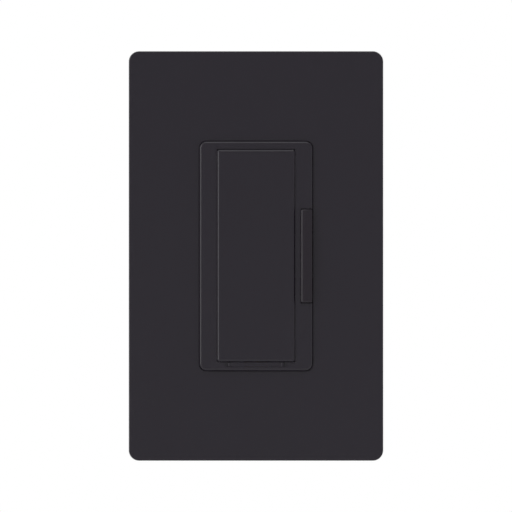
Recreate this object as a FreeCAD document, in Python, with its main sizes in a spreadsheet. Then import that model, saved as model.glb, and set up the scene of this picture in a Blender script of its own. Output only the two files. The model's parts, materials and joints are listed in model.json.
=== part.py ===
"""Rocker wall switch: a tap paddle and a dimming rocker in a screwless single-gang wall plate.

Millimetres. X runs to the right, Y into the wall and Z up. The origin lies midway between the two
box screws, on the plane of the finished wall, so the front faces -Y and the housing lies at +Y.
"""
import FreeCAD, Part
import math
import os
import Sketcher

V = FreeCAD.Vector
SHEET = "Sizes"

# Alias, value in millimetres (degrees and counts where it says so), meaning
SIZES = [
    ("plate_width", 74.0, "outer width of the wall plate"),
    ("plate_height", 119.1, "outer height of the wall plate"),
    ("plate_depth", 7.6, "front face of the plate to the wall"),
    ("plate_wall", 1.9, "side wall thickness of the cover"),
    ("plate_face", 2.0, "front wall thickness of the cover"),
    ("plate_corner", 3.0, "outer corner radius"),
    ("plate_inner_corner", 1.6, "inner corner radius"),
    ("plate_edge", 0.2, "rounding of the front edge"),
    ("plate_draft", 0.5, "draft of the side walls, degrees"),
    ("opening_width", 33.04, "opening in the plate"),
    ("opening_height", 66.88, "opening in the plate"),
    ("opening_corner", 2.14, "corner radius of the opening"),
    ("opening_edge", 0.12, "rounding of the opening's front edge"),
    ("hook_reach", 1.0, "snap hook past the inner wall"),
    ("hook_width", 8.0, "length of each snap hook"),
    ("hook_front", 1.42, "front face of a snap hook, ahead of the wall"),
    ("hook_back", 0.3, "back end of a snap hook, ahead of the wall"),
    ("hook_side_offset", 38.0, "side hooks above and below the middle"),
    ("hook_end_offset", 16.0, "end hooks left and right of the middle"),
    ("adapter_gap", 0.6, "adapter to the cover's inner wall"),
    ("adapter_thickness", 2.2, "adapter plate"),
    ("adapter_rim", 1.6, "width and height of the adapter's rim"),
    ("adapter_corner", 2.0, "corner radius of the adapter"),
    ("adapter_opening_gap", 0.1, "adapter to the bezel, each side"),
    ("plate_screw_offset", 48.4, "plate screws above and below the middle"),
    ("plate_screw_head", 2.95, "head radius"),
    ("plate_screw_sink", 1.2, "height of the countersunk head"),
    ("plate_screw_shank", 1.7, "shank radius"),
    ("plate_screw_end", 8.0, "tip of the screw behind the wall plane"),
    ("plate_screw_hole", 2.0, "hole in the adapter"),
    ("plate_screw_countersink", 1.0, "chamfer of that hole"),
    ("screw_hole_clear", 0.05, "radial clearance of a screw in its threaded hole"),
    ("box_screw_offset", 41.67, "box screws above and below the middle"),
    ("box_screw_radius", 1.75, "threaded part"),
    ("box_screw_neck", 1.5, "plain neck that lets the screw shift in its slot"),
    ("box_screw_neck_end", 0.45, "end of the neck behind the wall plane"),
    ("box_screw_head", 3.3, "head radius"),
    ("box_screw_head_height", 2.0, "head height"),
    ("pan_bevel_share", 0.4, "bevel of a pan head, in head heights"),
    ("pan_face_share", 0.75, "flat of a pan head, in head radii"),
    ("box_screw_end", 22.0, "tip of the screw behind the wall plane"),
    ("head_clearance", 0.3, "round a screw head"),
    ("drive_reach_share", 0.6, "half span of a driver recess, in head radii"),
    ("drive_width_share", 0.4, "half width of a driver recess, in slot widths"),
    ("tip_share", 0.6, "taper at a screw's tip, in shank radii"),
    ("drive_slot_width", 1.0, "width of a driver slot"),
    ("drive_slot_depth", 0.9, "depth of a driver slot"),
    ("retainer_radius", 4.2, "fibre washer"),
    ("retainer_thickness", 0.45, "fibre washer"),
    ("yoke_thickness", 1.6, "aluminium strap"),
    ("yoke_width", 44.5, "middle of the strap"),
    ("yoke_shoulder", 36.0, "half height of the wide middle"),
    ("yoke_ear_width", 25.0, "ears"),
    ("yoke_half_height", 53.0, "tip of an ear"),
    ("yoke_corner", 2.5, "corner radius"),
    ("yoke_slot_radius", 2.1, "half height of the box screw slot"),
    ("yoke_slot_half", 1.8, "half the slot's straight length"),
    ("window_gap", 0.4, "round a switch in its window"),
    ("bezel_width", 32.96, "outer width"),
    ("bezel_height", 66.8, "outer height"),
    ("bezel_depth", 8.8, "front of the bezel to the wall"),
    ("bezel_corner", 2.1, "corner radius"),
    ("bezel_edge", 0.65, "rounding of the front edge"),
    ("bezel_face", 1.8, "front wall thickness"),
    ("bezel_wall", 1.0, "skirts and outer walls"),
    ("bezel_channel_half", 27.5, "half length of the hollow side channels"),
    ("leg_offset", 11.0, "snap legs left and right of the middle"),
    ("leg_width", 3.6, "snap leg"),
    ("leg_inner", 31.7, "inner face of a leg, from the middle"),
    ("leg_thickness", 1.2, "snap leg"),
    ("leg_end", 0.9, "tip of a leg behind the wall plane"),
    ("leg_catch", 0.6, "how far a leg's hook reaches"),
    ("leg_gap", 0.15, "leg to the long sides of its slot"),
    ("catch_gap", 0.3, "yoke to a hook behind it"),
    ("paddle_half_width", 11.34, "tap paddle"),
    ("paddle_top", 31.0, "tap paddle"),
    ("paddle_bottom", -30.77, "tap paddle"),
    ("paddle_depth", 9.5, "face of the paddle to the wall"),
    ("paddle_back", 5.6, "rear edge of the paddle's skirt to the wall"),
    ("paddle_skin", 1.5, "wall thickness of the paddle"),
    ("stiffener_low", -18.0, "ribs across the inside of the paddle"),
    ("stiffener_middle", -6.0, "ribs across the inside of the paddle"),
    ("stiffener_high", 18.0, "ribs across the inside of the paddle"),
    ("paddle_corner", 0.7, "corner radius"),
    ("paddle_edge", 0.65, "rounding of the front edge"),
    ("paddle_gap", 0.12, "ends of the paddle to the bezel"),
    ("paddle_side_gap", 0.05, "sides of the paddle to the bezel"),
    ("trunnion_height", 30.0, "hinge of the paddle above the middle"),
    ("trunnion_depth", 4.6, "hinge of the paddle to the wall"),
    ("trunnion_radius", 0.9, "hinge pin of the paddle"),
    ("trunnion_reach", 1.6, "pin past the paddle's side"),
    ("socket_clear", 0.05, "radial clearance of a moulded pin in its socket"),
    ("ear_height", 2.5, "hinge ear of the paddle"),
    ("ear_back", 3.4, "rear of the hinge ear to the wall"),
    ("plunger_tip", 2.5, "tip of each switch plunger to the wall"),
    ("touch_gap", 0.05, "play between parts that press each other"),
    ("rib_half", 1.6, "rib that presses the tap switch"),
    ("foot_offset", 8.0, "stop feet left and right of the middle"),
    ("foot_half", 0.9, "stop foot"),
    ("foot_height", -28.0, "stop feet below the middle"),
    ("foot_back", 3.0, "rear of a stop foot to the wall"),
    ("clip_offset", 5.5, "paddle clips left and right of the middle"),
    ("clip_half", 0.8, "half width of a paddle clip"),
    ("clip_low", -27.0, "lower face of a paddle clip"),
    ("clip_thickness", 1.2, "paddle clip"),
    ("clip_end", 1.0, "tip of a clip behind the wall plane"),
    ("clip_catch", 1.0, "how far a clip's hook reaches"),
    ("rocker_left", 13.03, "left face of the dimming rocker"),
    ("rocker_right", 16.4, "right face of the dimming rocker"),
    ("rocker_half", 13.6, "half length of the dimming rocker"),
    ("rocker_depth", 10.2, "crest of the rocker to the wall"),
    ("rocker_shoulder", 9.65, "right edge of the crest to the wall"),
    ("rocker_crest", 14.5, "where the crest starts to fall to the right"),
    ("rocker_cap_back", 6.3, "rear of the rocker's cap to the wall"),
    ("rocker_stem_right", 15.1, "right face of the rocker's stem"),
    ("rocker_stem_half", 12.5, "half length of the stem"),
    ("rocker_stem_back", 3.6, "rear of the stem to the wall"),
    ("rocker_round", 0.55, "rounding of the cap's left edge"),
    ("rocker_crest_round", 4.5, "radius along the crest"),
    ("rocker_right_round", 0.25, "rounding of the cap's right edge"),
    ("rocker_end_round", 0.4, "rounding of the cap's ends"),
    ("rocker_pivot_depth", 4.9, "pivot of the rocker to the wall"),
    ("rocker_pin_radius", 0.8, "pivot pin of the rocker"),
    ("rocker_pin_left", 11.8, "left end of the pivot pin"),
    ("rocker_pin_right", 16.25, "right end of the pivot pin"),
    ("rocker_side_gap", 0.05, "left face of the rocker to the bezel"),
    ("rocker_end_gap", 0.18, "ends of the rocker to the bezel"),
    ("notch_back", 5.4, "bottom of the notch in the outer wall, to the wall plane"),
    ("dim_switch_height", 9.0, "dimming switches above and below the middle"),
    ("dim_switch_side", 14.05, "dimming switches right of the middle"),
    ("dim_foot_half", 1.3, "rocker foot"),
    ("tap_switch_height", 7.7, "tap switch above the middle"),
    ("tab_half", 8.1, "service tab"),
    ("tab_low", -32.2, "service tab"),
    ("tab_depth", 8.9, "front of the service tab to the wall"),
    ("tab_lip", 2.4, "depth of the wide lip"),
    ("tab_stem_half", 3.0, "stem of the service tab"),
    ("tab_stop_half", 4.3, "stop shoulder of the stem"),
    ("tab_stop_front", 3.4, "stop shoulder behind the wall plane"),
    ("tab_stop_back", 4.6, "stop shoulder behind the wall plane"),
    ("tab_nose_half", 1.0, "nose that presses the contact leaf"),
    ("tab_nose_length", 2.5, "straight part of the nose"),
    ("tab_nose_round", 0.8, "rounding of the nose"),
    ("tab_nose_end", 7.85, "tip of the nose behind the wall plane"),
    ("tab_slot_gap", 0.05, "round the tab in the bezel"),
    ("tab_edge", 0.08, "rounding of the tab's front edges"),
    ("tab_ridge_side", 7.7, "nail ridges left and right of the middle"),
    ("tab_ridge_half", 0.35, "half width of a nail ridge"),
    ("tab_ridge_height", 0.22, "nail ridge ahead of the tab's face"),
    ("tab_ridge_round", 0.15, "rounding of a nail ridge"),
    ("nail_notch_width", 0.9, "nail notch at each end of the tab"),
    ("nail_notch_depth", 0.4, "nail notch"),
    ("leaf_pivot_side", -10.0, "pivot of the contact leaf"),
    ("leaf_pivot_depth", 9.4, "pivot of the contact leaf behind the wall plane"),
    ("leaf_pin_radius", 0.9, "pivot pin of the contact leaf"),
    ("leaf_eye_radius", 1.5, "rolled eye of the contact leaf"),
    ("leaf_low", -32.7, "contact leaf"),
    ("leaf_high", -30.3, "contact leaf"),
    ("leaf_end", 6.0, "free end of the contact leaf"),
    ("leaf_thickness", 0.3, "contact leaf"),
    ("contact_side", 4.4, "contact buttons right of the middle"),
    ("contact_radius", 1.1, "contact button"),
    ("contact_height", 0.7, "contact button"),
    ("strip_thickness", 0.6, "brass strips of the service contacts"),
    ("strip_low", -33.2, "lower end of the brass strips"),
    ("strip_high", -24.5, "upper end of the brass strips"),
    ("strip_half", 2.0, "half width of the brass strips"),
    ("bracket_front", 11.2, "strip of the leaf bracket behind the wall plane"),
    ("bracket_ear", 0.4, "ears that hold the leaf's pin"),
    ("ear_width_margin", 0.1, "ears of the bracket past the pin"),
    ("control_front", 2.5, "front of the control board behind the wall plane"),
    ("control_thickness", 1.0, "control board"),
    ("control_left", -7.0, "control board"),
    ("control_right", 19.4, "control board"),
    ("board_low", -28.0, "lower edge of both boards"),
    ("board_high", 29.0, "upper edge of both boards"),
    ("power_front", 5.5, "front of the power board behind the wall plane"),
    ("power_thickness", 1.6, "power board"),
    ("power_half", 19.4, "half width of the power board"),
    ("pin_width", 0.64, "square board pins"),
    ("pin_inset", 2.0, "first board pin from the board's left and lower edges"),
    ("pin_count", 6, "board pins, a count"),
    ("chip_length", 1.6, "small chip"),
    ("chip_width", 0.8, "small chip"),
    ("chip_thickness", 0.55, "small chip"),
    ("chip_column", 14.0, "left end of the right column of chips"),
    ("chip_pitch", 3.2, "between the columns"),
    ("chip_stagger", 0.8, "shift of every other row"),
    ("pack_side", 3.0, "middle of the microcontroller"),
    ("pack_height", -12.0, "middle of the microcontroller"),
    ("pack_half", 2.6, "half width of its case"),
    ("pack_stand", 0.15, "case off the board"),
    ("pack_thickness", 1.1, "case"),
    ("pack_pin_root", 0.2, "pins start inside the case"),
    ("pack_pin_reach", 0.9, "pins past the case"),
    ("pack_pin_width", 0.3, "pins"),
    ("pack_pin_height", 0.35, "pins"),
    ("pack_pin_pitch", 0.6, "pins"),
    ("pack_pin_count", 8, "pins on each side, a count"),
    ("switch_front", 1.0, "front of each switch's metal cover to the wall"),
    ("switch_cover", 0.3, "metal cover of a switch"),
    ("cover_leg_end", 1.6, "end of a cover's side legs behind the wall plane"),
    ("cavity_end", 1.4, "end of a switch's cavity behind the wall plane"),
    ("cover_leg", 0.25, "thickness of a cover's side legs"),
    ("plunger_clear", 0.08, "plunger to its cover"),
    ("plunger_round", 0.2, "bevel of a plunger's tip"),
    ("dome_thickness", 0.15, "snap dome"),
    ("dome_knee", 0.18, "shoulder of a dome below its crown"),
    ("dome_rim", 0.65, "rim of a dome below its crown"),
    ("tap_case_half", 3.0, "half width of the tap switch"),
    ("tap_plunger_radius", 1.75, "tap switch"),
    ("tap_flange_radius", 2.3, "flange of the plunger"),
    ("tap_cavity_radius", 2.55, "tap switch"),
    ("tap_flange_front", -0.6, "flange behind the wall plane"),
    ("tap_flange_back", 0.2, "flange behind the wall plane"),
    ("dim_case_half", 2.25, "half width of a dimming switch"),
    ("dim_plunger_radius", 1.0, "dimming switch"),
    ("dim_flange_radius", 1.5, "flange of the plunger"),
    ("dim_cavity_radius", 1.75, "dimming switch"),
    ("dim_flange_front", -0.3, "flange behind the wall plane"),
    ("dim_flange_back", 0.3, "flange behind the wall plane"),
    ("sheet_front", 0.1, "insulator sheet behind the wall plane"),
    ("sheet_thickness", 0.3, "insulator sheet"),
    ("sheet_low", -22.0, "lower edge of the insulator sheet"),
    ("housing_half_width", 22.0, "back cover"),
    ("housing_half_height", 35.0, "back cover"),
    ("housing_depth", 29.0, "back cover"),
    ("housing_wall", 1.7, "back cover"),
    ("housing_floor", 1.8, "back cover"),
    ("housing_corner", 2.5, "corner radius of the back cover"),
    ("housing_edge", 1.0, "rounding of the back cover's rear edge"),
    ("panel_half_width", 12.0, "blank sunk panel on the rear face"),
    ("panel_half_height", 10.5, "blank sunk panel on the rear face"),
    ("panel_depth", 0.4, "blank sunk panel on the rear face"),
    ("gauge_height", 24.0, "strip-length gauge above the middle"),
    ("gauge_half_length", 5.5, "strip-length gauge"),
    ("gauge_half_width", 1.1, "strip-length gauge"),
    ("gauge_depth", 0.7, "strip-length gauge"),
    ("rib_offset", 11.0, "end ribs left and right of the middle"),
    ("rib_width", 1.2, "end rib"),
    ("rib_height", 0.5, "end rib past the end wall"),
    ("rib_front", 5.0, "front of an end rib behind the wall plane"),
    ("rib_back", 26.0, "back of an end rib"),
    ("entry_lead_in", 0.5, "bevel at the mouth of a wire entry"),
    ("boss_side", 19.0, "corner bosses left and right of the middle"),
    ("boss_height", 32.1, "corner bosses above and below the middle"),
    ("boss_radius", 2.6, "corner boss"),
    ("boss_depth", 10.0, "corner boss"),
    ("boss_end", 1.0, "solid end of a boss"),
    ("cover_screw_radius", 1.15, "screw of the back cover"),
    ("cover_screw_head", 2.2, "head radius"),
    ("cover_screw_sink", 0.95, "height of the countersunk head"),
    ("cover_screw_end", 8.0, "tip of the screw behind the wall plane"),
    ("cover_screw_pilot", 1.2, "hole in the boss"),
    ("cover_screw_hole", 1.3, "hole in the yoke"),
    ("cover_screw_chamfer", 0.95, "countersink in the yoke"),
    ("post_side", 16.5, "posts behind the power board"),
    ("post_top", 27.0, "upper posts"),
    ("post_bottom", -26.0, "lower posts"),
    ("post_radius", 1.4, "post"),
    ("terminal_height", 16.0, "terminals above and below the middle"),
    ("block_inner", 13.8, "inner face of a terminal block"),
    ("block_half", 6.2, "half height of a terminal block"),
    ("block_front", 11.5, "front of a terminal block behind the wall plane"),
    ("pocket_inner", 15.6, "inner face of a terminal pocket"),
    ("pocket_half", 4.8, "half height of a terminal pocket"),
    ("pocket_front", 13.5, "front of a terminal pocket"),
    ("pocket_back", 24.5, "back of a terminal pocket"),
    ("block_inset", 0.5, "blocks into the housing's side and rear walls"),
    ("strip_margin", 0.2, "strip inside its pocket"),
    ("clamp_margin", 0.4, "clamp plate inside its pocket"),
    ("clamp_corner", 0.8, "corner radius of the clamp plate"),
    ("screw_room", 0.25, "round the terminal screw's end"),
    ("terminal_strip", 1.2, "thickness of a terminal strip"),
    ("terminal_leg_half", 1.5, "half width of a strip's leg"),
    ("clamp_front", 19.4, "inner face of a clamp plate"),
    ("clamp_thickness", 0.8, "clamp plate"),
    ("terminal_screw_radius", 2.05, "terminal screw"),
    ("terminal_head", 3.6, "head radius"),
    ("terminal_screw_end", 14.7, "inner end of a terminal screw"),
    ("terminal_depth", 19.0, "terminal screws behind the wall plane"),
    ("wire_hole_radius", 1.3, "wire entry"),
    ("wire_hole_side", 18.1, "wire entries left and right of the middle"),
    ("ground_tab_high", -37.5, "ground tab"),
    ("ground_tab_low", -46.5, "ground tab"),
    ("ground_tab_end", 9.0, "ground tab behind the wall plane"),
    ("ground_tab_thickness", 1.2, "ground tab"),
    ("ground_screw_depth", 4.4, "ground screw behind the wall plane"),
    ("ground_screw_radius", 2.05, "ground screw"),
    ("ground_head", 3.6, "head radius"),
    ("ground_head_height", 2.2, "head height"),
    ("head_bevel_share", 0.3, "bevel of a screw head, in head heights"),
    ("head_face_share", 0.88, "flat of a screw head, in head radii"),
    ("ground_screw_end", -6.5, "inner end of the ground screw"),
    ("triac_side", -13.5, "triac"),
    ("triac_low", 8.0, "lower end of the triac's body"),
    ("triac_body_height", 9.0, "triac"),
    ("triac_half", 5.0, "half width of the triac"),
    ("triac_tab_height", 6.6, "bare metal tab"),
    ("triac_front", 0.35, "front of the triac behind the wall plane"),
    ("triac_tab_thickness", 1.3, "triac tab"),
    ("triac_body_thickness", 4.4, "triac body"),
    ("triac_hole", 20.3, "rivet above the middle"),
    ("triac_pitch", 2.54, "leg pitch"),
    ("triac_chamfer", 0.6, "bevel round the case's back"),
    ("triac_leg_half", 0.4, "half width of a leg"),
    ("triac_leg_thickness", 0.5, "leg"),
    ("triac_leg_drop", 2.6, "leg below the case"),
    ("triac_leg_front", 2.2, "leg behind the case's front"),
    ("triac_overlap", 0.5, "tab and legs inside the case"),
    ("triac_pad_side", 0.6, "insulator past the triac, left and right"),
    ("triac_pad_end", 0.9, "insulator past the triac, above and below"),
    ("rivet_radius", 1.6, "rivet"),
    ("rivet_head", 2.5, "rivet head"),
    ("rivet_dome", 0.6, "height of the rivet head's edge"),
    ("rivet_crown", 0.9, "height of the rivet head's middle"),
    ("choke_height", -11.5, "middle of the choke"),
    ("choke_bore", 4.6, "inner radius of the core"),
    ("choke_outer", 9.2, "outer radius of the core"),
    ("choke_front", 8.3, "front of the core behind the wall plane"),
    ("choke_thickness", 8.0, "core"),
    ("choke_round", 0.8, "rounding of the core"),
    ("wire_thickness", 0.9, "wire of the winding"),
    ("wire_gap", 0.1, "wire to the core"),
    ("wire_round_share", 0.44, "rounding of the wire, in thicknesses"),
    ("choke_turns", 18, "turns, a count"),
    ("film_half", 8.5, "half width of the film capacitor"),
    ("film_low", 3.0, "film capacitor"),
    ("film_high", 11.0, "film capacitor"),
    ("film_height", 11.5, "film capacitor off the board"),
    ("film_edge", 0.7, "rounding of the film capacitor"),
    ("can_side", 8.0, "electrolytic capacitor right of the middle"),
    ("can_middle", 18.5, "electrolytic capacitor above the middle"),
    ("can_radius", 4.0, "electrolytic capacitor"),
    ("can_height", 11.0, "electrolytic capacitor off the board"),
    ("can_seal", 3.8, "radius of the rubber seal"),
    ("can_neck", 3.7, "radius of the crimp"),
    ("can_seal_height", 0.6, "seal off the board"),
    ("can_neck_start", 1.2, "crimp off the board"),
    ("can_neck_middle", 1.6, "crimp off the board"),
    ("can_neck_end", 2.0, "crimp off the board"),
    ("can_bevel", 0.3, "bevel of the top"),
    ("can_vent", 3.2, "radius of the sunk top"),
    ("can_vent_depth", 0.2, "sunk top"),
    ("varistor_side", -5.0, "varistor"),
    ("varistor_low", 15.0, "varistor"),
    ("varistor_thickness", 3.5, "varistor"),
    ("varistor_radius", 4.5, "varistor"),
    ("varistor_round", 1.2, "rounding of the varistor"),
    ("varistor_stand", 5.6, "middle of the disc off the board"),
    ("varistor_lead", 2.5, "leads left and right of its middle"),
    ("lead_radius", 0.35, "component leads"),
    ("lead_bend_radius", 0.3, "part of a lead that goes down to the board"),
    ("axial_stand", 2.2, "resistor and diode off the board"),
    ("axial_middle", -4.0, "resistor and diode"),
    ("axial_lead", 1.6, "straight lead past the body"),
    ("axial_round_share", 0.4, "rounding of the bodies, in radii"),
    ("resistor_height", 23.2, "power resistor above the middle"),
    ("resistor_radius", 1.5, "power resistor"),
    ("resistor_half", 4.2, "half length of the power resistor"),
    ("diode_height", 26.6, "rectifier diode above the middle"),
    ("diode_radius", 1.2, "rectifier diode"),
    ("diode_half", 2.4, "half length of the rectifier diode"),
]


class Size:
    """A length kept both as a number and as the sheet expression that gives it."""

    def __init__(self, value, text):
        self.value = value
        self.text = text

    def joined(self, sign, other, value):
        return Size(value, f"({self.text} {sign} {as_size(other).text})")

    def __add__(self, other):
        return self.joined("+", other, self.value + as_size(other).value)

    def __sub__(self, other):
        return self.joined("-", other, self.value - as_size(other).value)

    def __mul__(self, other):
        return self.joined("*", other, self.value * as_size(other).value)

    def __truediv__(self, other):
        return self.joined("/", other, self.value / as_size(other).value)

    def __neg__(self):
        return Size(-self.value, f"(0 - {self.text})")

    def __radd__(self, other):
        return as_size(other) + self

    def __rsub__(self, other):
        return as_size(other) - self

    def __rmul__(self, other):
        return as_size(other) * self


def as_size(length):
    return length if isinstance(length, Size) else Size(float(length), repr(float(length)))


class Sheet:
    """The driving dimensions, each read by its alias as a Size."""

    def __init__(self, document):
        self.cells = document.addObject("Spreadsheet::Sheet", SHEET)
        for row, (alias, value, meaning) in enumerate(SIZES, start=1):
            self.cells.set(f"A{row}", meaning)
            self.cells.set(f"B{row}", str(value))
            self.cells.setAlias(f"B{row}", alias)
        document.recompute()

    def __getattr__(self, alias):
        return Size(float(self.cells.get(alias)), f"{SHEET}.{alias}")


doc = FreeCAD.newDocument("RockerWallSwitch")
s = Sheet(doc)
nodes = []


# ---------------------------------------------------------------- outlines in a sketch

def name_dimension(sketch, constraint, size):
    """Add a dimension and bind it to the sheet."""
    size = as_size(size)
    index = sketch.addConstraint(Sketcher.Constraint(*constraint, size.value))
    name = f"size{index}"
    sketch.renameConstraint(index, name)
    sketch.setExpression(f"Constraints.{name}", size.text)


def place_point(sketch, line, end, u, v):
    name_dimension(sketch, ("DistanceX", -1, 1, line, end), u)
    name_dimension(sketch, ("DistanceY", -1, 1, line, end), v)


def polygon(*corners):
    """A closed outline of straight lines through (u, v) corners."""
    corners = [(as_size(u), as_size(v)) for u, v in corners]

    def draw(sketch):
        points = [V(u.value, v.value, 0) for u, v in corners]
        first = sketch.GeometryCount
        for start, end in zip(points, points[1:] + points[:1]):
            sketch.addGeometry(Part.LineSegment(start, end), False)
        for index, (u, v) in enumerate(corners):
            line = first + index
            previous = first + (index - 1) % len(corners)
            sketch.addConstraint(Sketcher.Constraint("Coincident", previous, 2, line, 1))
            place_point(sketch, line, 1, u, v)
    return draw


def rectangle(left, right, low, high):
    return polygon((left, low), (right, low), (right, high), (left, high))


def in_order(one, other):
    """Two positions, the lower first."""
    return sorted((as_size(one), as_size(other)), key=lambda size: size.value)


def centred(u, v, half_u, half_v):
    u, v = as_size(u), as_size(v)
    return rectangle(u - half_u, u + half_u, v - half_v, v + half_v)


def plus_sign(half_span, half_width):
    a, b = as_size(half_span), as_size(half_width)
    return polygon((b, b), (a, b), (a, -b), (b, -b), (b, -a), (-b, -a),
                   (-b, -b), (-a, -b), (-a, b), (-b, b), (-b, a), (b, a))


def disc(u, v, radius):
    u, v, radius = as_size(u), as_size(v), as_size(radius)

    def draw(sketch):
        circle = Part.Circle(V(u.value, v.value, 0), V(0, 0, 1), radius.value)
        index = sketch.addGeometry(circle, False)
        place_point(sketch, index, 3, u, v)
        name_dimension(sketch, ("Radius", index), radius)
    return draw


def slot(u, v, half_length, radius):
    """An outline with two round ends, long in u."""
    u, v, half_length, radius = (as_size(x) for x in (u, v, half_length, radius))

    def draw(sketch):
        right = V((u + half_length).value, v.value, 0)
        left = V((u - half_length).value, v.value, 0)
        up = V(0, radius.value, 0)
        arcs = [Part.ArcOfCircle(Part.Circle(right, V(0, 0, 1), radius.value), -math.pi / 2, math.pi / 2),
                Part.ArcOfCircle(Part.Circle(left, V(0, 0, 1), radius.value), math.pi / 2, math.pi * 1.5)]
        first = sketch.GeometryCount
        for piece in (arcs[0], Part.LineSegment(right + up, left + up),
                      arcs[1], Part.LineSegment(left - up, right - up)):
            sketch.addGeometry(piece, False)
        for index in range(4):
            after = first + (index + 1) % 4
            sketch.addConstraint(Sketcher.Constraint("Tangent", first + index, 2, after, 1))
        sketch.addConstraint(Sketcher.Constraint("Equal", first, first + 2))
        place_point(sketch, first, 3, u + half_length, v)
        name_dimension(sketch, ("DistanceX", -1, 1, first + 2, 3), u - half_length)
        name_dimension(sketch, ("Radius", first), radius)
    return draw


# ---------------------------------------------------------------- bodies and features

# A prism's axis, the origin plane across it, and the way that plane's normal points along the axis
PLANES = {"X": ("YZ_Plane", 1), "Y": ("XZ_Plane", -1), "Z": ("XY_Plane", 1)}


def new_body(label, is_node=True):
    body = doc.addObject("PartDesign::Body", label)
    body.Label = label
    if is_node:
        nodes.append(body)
    return body


def sketch_across(body, axis, at, outlines):
    role, sign = PLANES[axis]
    plane = [f for f in body.Origin.OriginFeatures if f.Role == role][0]
    sketch = body.newObject("Sketcher::SketchObject", "Outline")
    sketch.AttachmentSupport = (plane, [""])
    sketch.MapMode = "FlatFace"
    offset = as_size(at) * sign
    sketch.setExpression("AttachmentOffset.Base.z", offset.text)
    for draw in outlines:
        draw(sketch)
    return sketch


def finish_feature(body, feature, low, high):
    feature.setExpression("Length", (as_size(high) - low).text)
    doc.recompute()
    body.Tip = feature
    return feature


def pad(body, axis, low, high, *outlines):
    """Add material between two positions along an axis."""
    start = low if PLANES[axis][1] > 0 else high
    sketch = sketch_across(body, axis, start, outlines)
    feature = body.newObject("PartDesign::Pad", "Pad")
    feature.Profile = sketch
    return finish_feature(body, feature, low, high)


def cut(body, axis, low, high, *outlines):
    """Remove material between two positions along an axis, and make sure that some went."""
    start = high if PLANES[axis][1] > 0 else low
    before = body.Shape.Volume
    sketch = sketch_across(body, axis, start, outlines)
    feature = body.newObject("PartDesign::Pocket", "Pocket")
    feature.Profile = sketch
    finish_feature(body, feature, low, high)
    if body.Shape.Volume > before - 1e-4:
        raise RuntimeError(f"a pocket in {body.Label} removed nothing")
    return feature


def turned(body, *corners):
    """Revolve an outline of (radius, y) corners about the body's own Y axis."""
    sketch = sketch_across(body, "Z", 0, [polygon(*corners)])
    feature = body.newObject("PartDesign::Revolution", "Turned")
    feature.Profile = sketch
    feature.ReferenceAxis = (sketch, ["V_Axis"])
    feature.Angle = 360
    doc.recompute()
    body.Tip = feature
    return feature


def dress(body, kind, size_name, size, test):
    """Fillet or chamfer the edges of the body that pass the test."""
    tip = body.Tip
    chosen = [f"Edge{i}" for i, edge in enumerate(tip.Shape.Edges, start=1) if test(edge)]
    if not chosen:
        raise RuntimeError(f"no edge of {body.Label} to dress")
    feature = body.newObject(f"PartDesign::{kind}", kind)
    feature.Base = (tip, chosen)
    feature.setExpression(size_name, as_size(size).text)
    doc.recompute()
    body.Tip = feature
    return feature


def fillet(body, radius, test):
    return dress(body, "Fillet", "Radius", radius, test)


def chamfer(body, size, test):
    return dress(body, "Chamfer", "Size", size, test)


FLAT = 0.01      # an edge this short along an axis lies across it
EXACT = 0.02     # how far an edge may lie from its stated place
ROUGH = 0.3      # the same, for an edge that is only near that place
LEANING = 0.9    # the same, where draft moves the edge


def near(number, target, slack=EXACT):
    return abs(number - as_size(target).value) < slack


def is_circle(edge):
    return isinstance(edge.Curve, Part.Circle)


def runs_in_depth(x, z, slack=ROUGH):
    """Picks the edges that run in depth at a corner (|x|, |z|)."""
    def test(edge):
        box = edge.BoundBox
        centre = box.Center
        return (box.YLength > ROUGH and box.XLength < slack and box.ZLength < slack
                and near(abs(centre.x), x, slack) and near(abs(centre.z), z, slack))
    return test


def front_loop(y, half_x, half_z):
    """Picks the edges in the plane y of a loop that is as large as the half sizes, or nearly."""
    def test(edge):
        box = edge.BoundBox
        past_x = max(abs(box.XMin), abs(box.XMax)) - as_size(half_x).value
        past_z = max(abs(box.ZMin), abs(box.ZMax)) - as_size(half_z).value
        reaches = past_x > -LEANING or past_z > -LEANING
        inside = past_x < ROUGH and past_z < ROUGH
        return box.YLength < FLAT and near(box.YMin, y) and inside and reaches
    return test


def rim_circle(y, radius):
    """Picks the circular edges of one radius in the plane y."""
    def test(edge):
        curve = edge.Curve
        return (isinstance(curve, Part.Circle) and near(curve.Radius, radius)
                and near(edge.BoundBox.YMin, y) and edge.BoundBox.YLength < FLAT)
    return test


def move_to(piece, x=0, y=0, z=0, turn_about_z=0):
    rotation = FreeCAD.Rotation(V(0, 0, 1), turn_about_z)
    piece.Placement = FreeCAD.Placement(V(*(as_size(c).value for c in (x, y, z))), rotation)
    for axis, length in zip("xyz", (x, y, z)):
        piece.setExpression(f"Placement.Base.{axis}", as_size(length).text)
    return piece


def block(label, x, y, z, is_node=False):
    """A Part::Box between the pairs of limits x, y and z."""
    box = doc.addObject("Part::Box", label)
    box.Label = label
    for side, (low, high) in zip(("Length", "Width", "Height"), (x, y, z)):
        box.setExpression(side, (as_size(high) - low).text)
    move_to(box, x[0], y[0], z[0])
    if is_node:
        nodes.append(box)
    return box


def fused(label, pieces):
    union = doc.addObject("Part::MultiFuse", label)
    union.Label = label
    union.Shapes = pieces
    nodes.append(union)
    return union


def grouped(label, pieces):
    group = doc.addObject("Part::Compound", label)
    group.Label = label
    group.Links = pieces
    nodes.append(group)
    return group


# ---------------------------------------------------------------- shared positions

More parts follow.
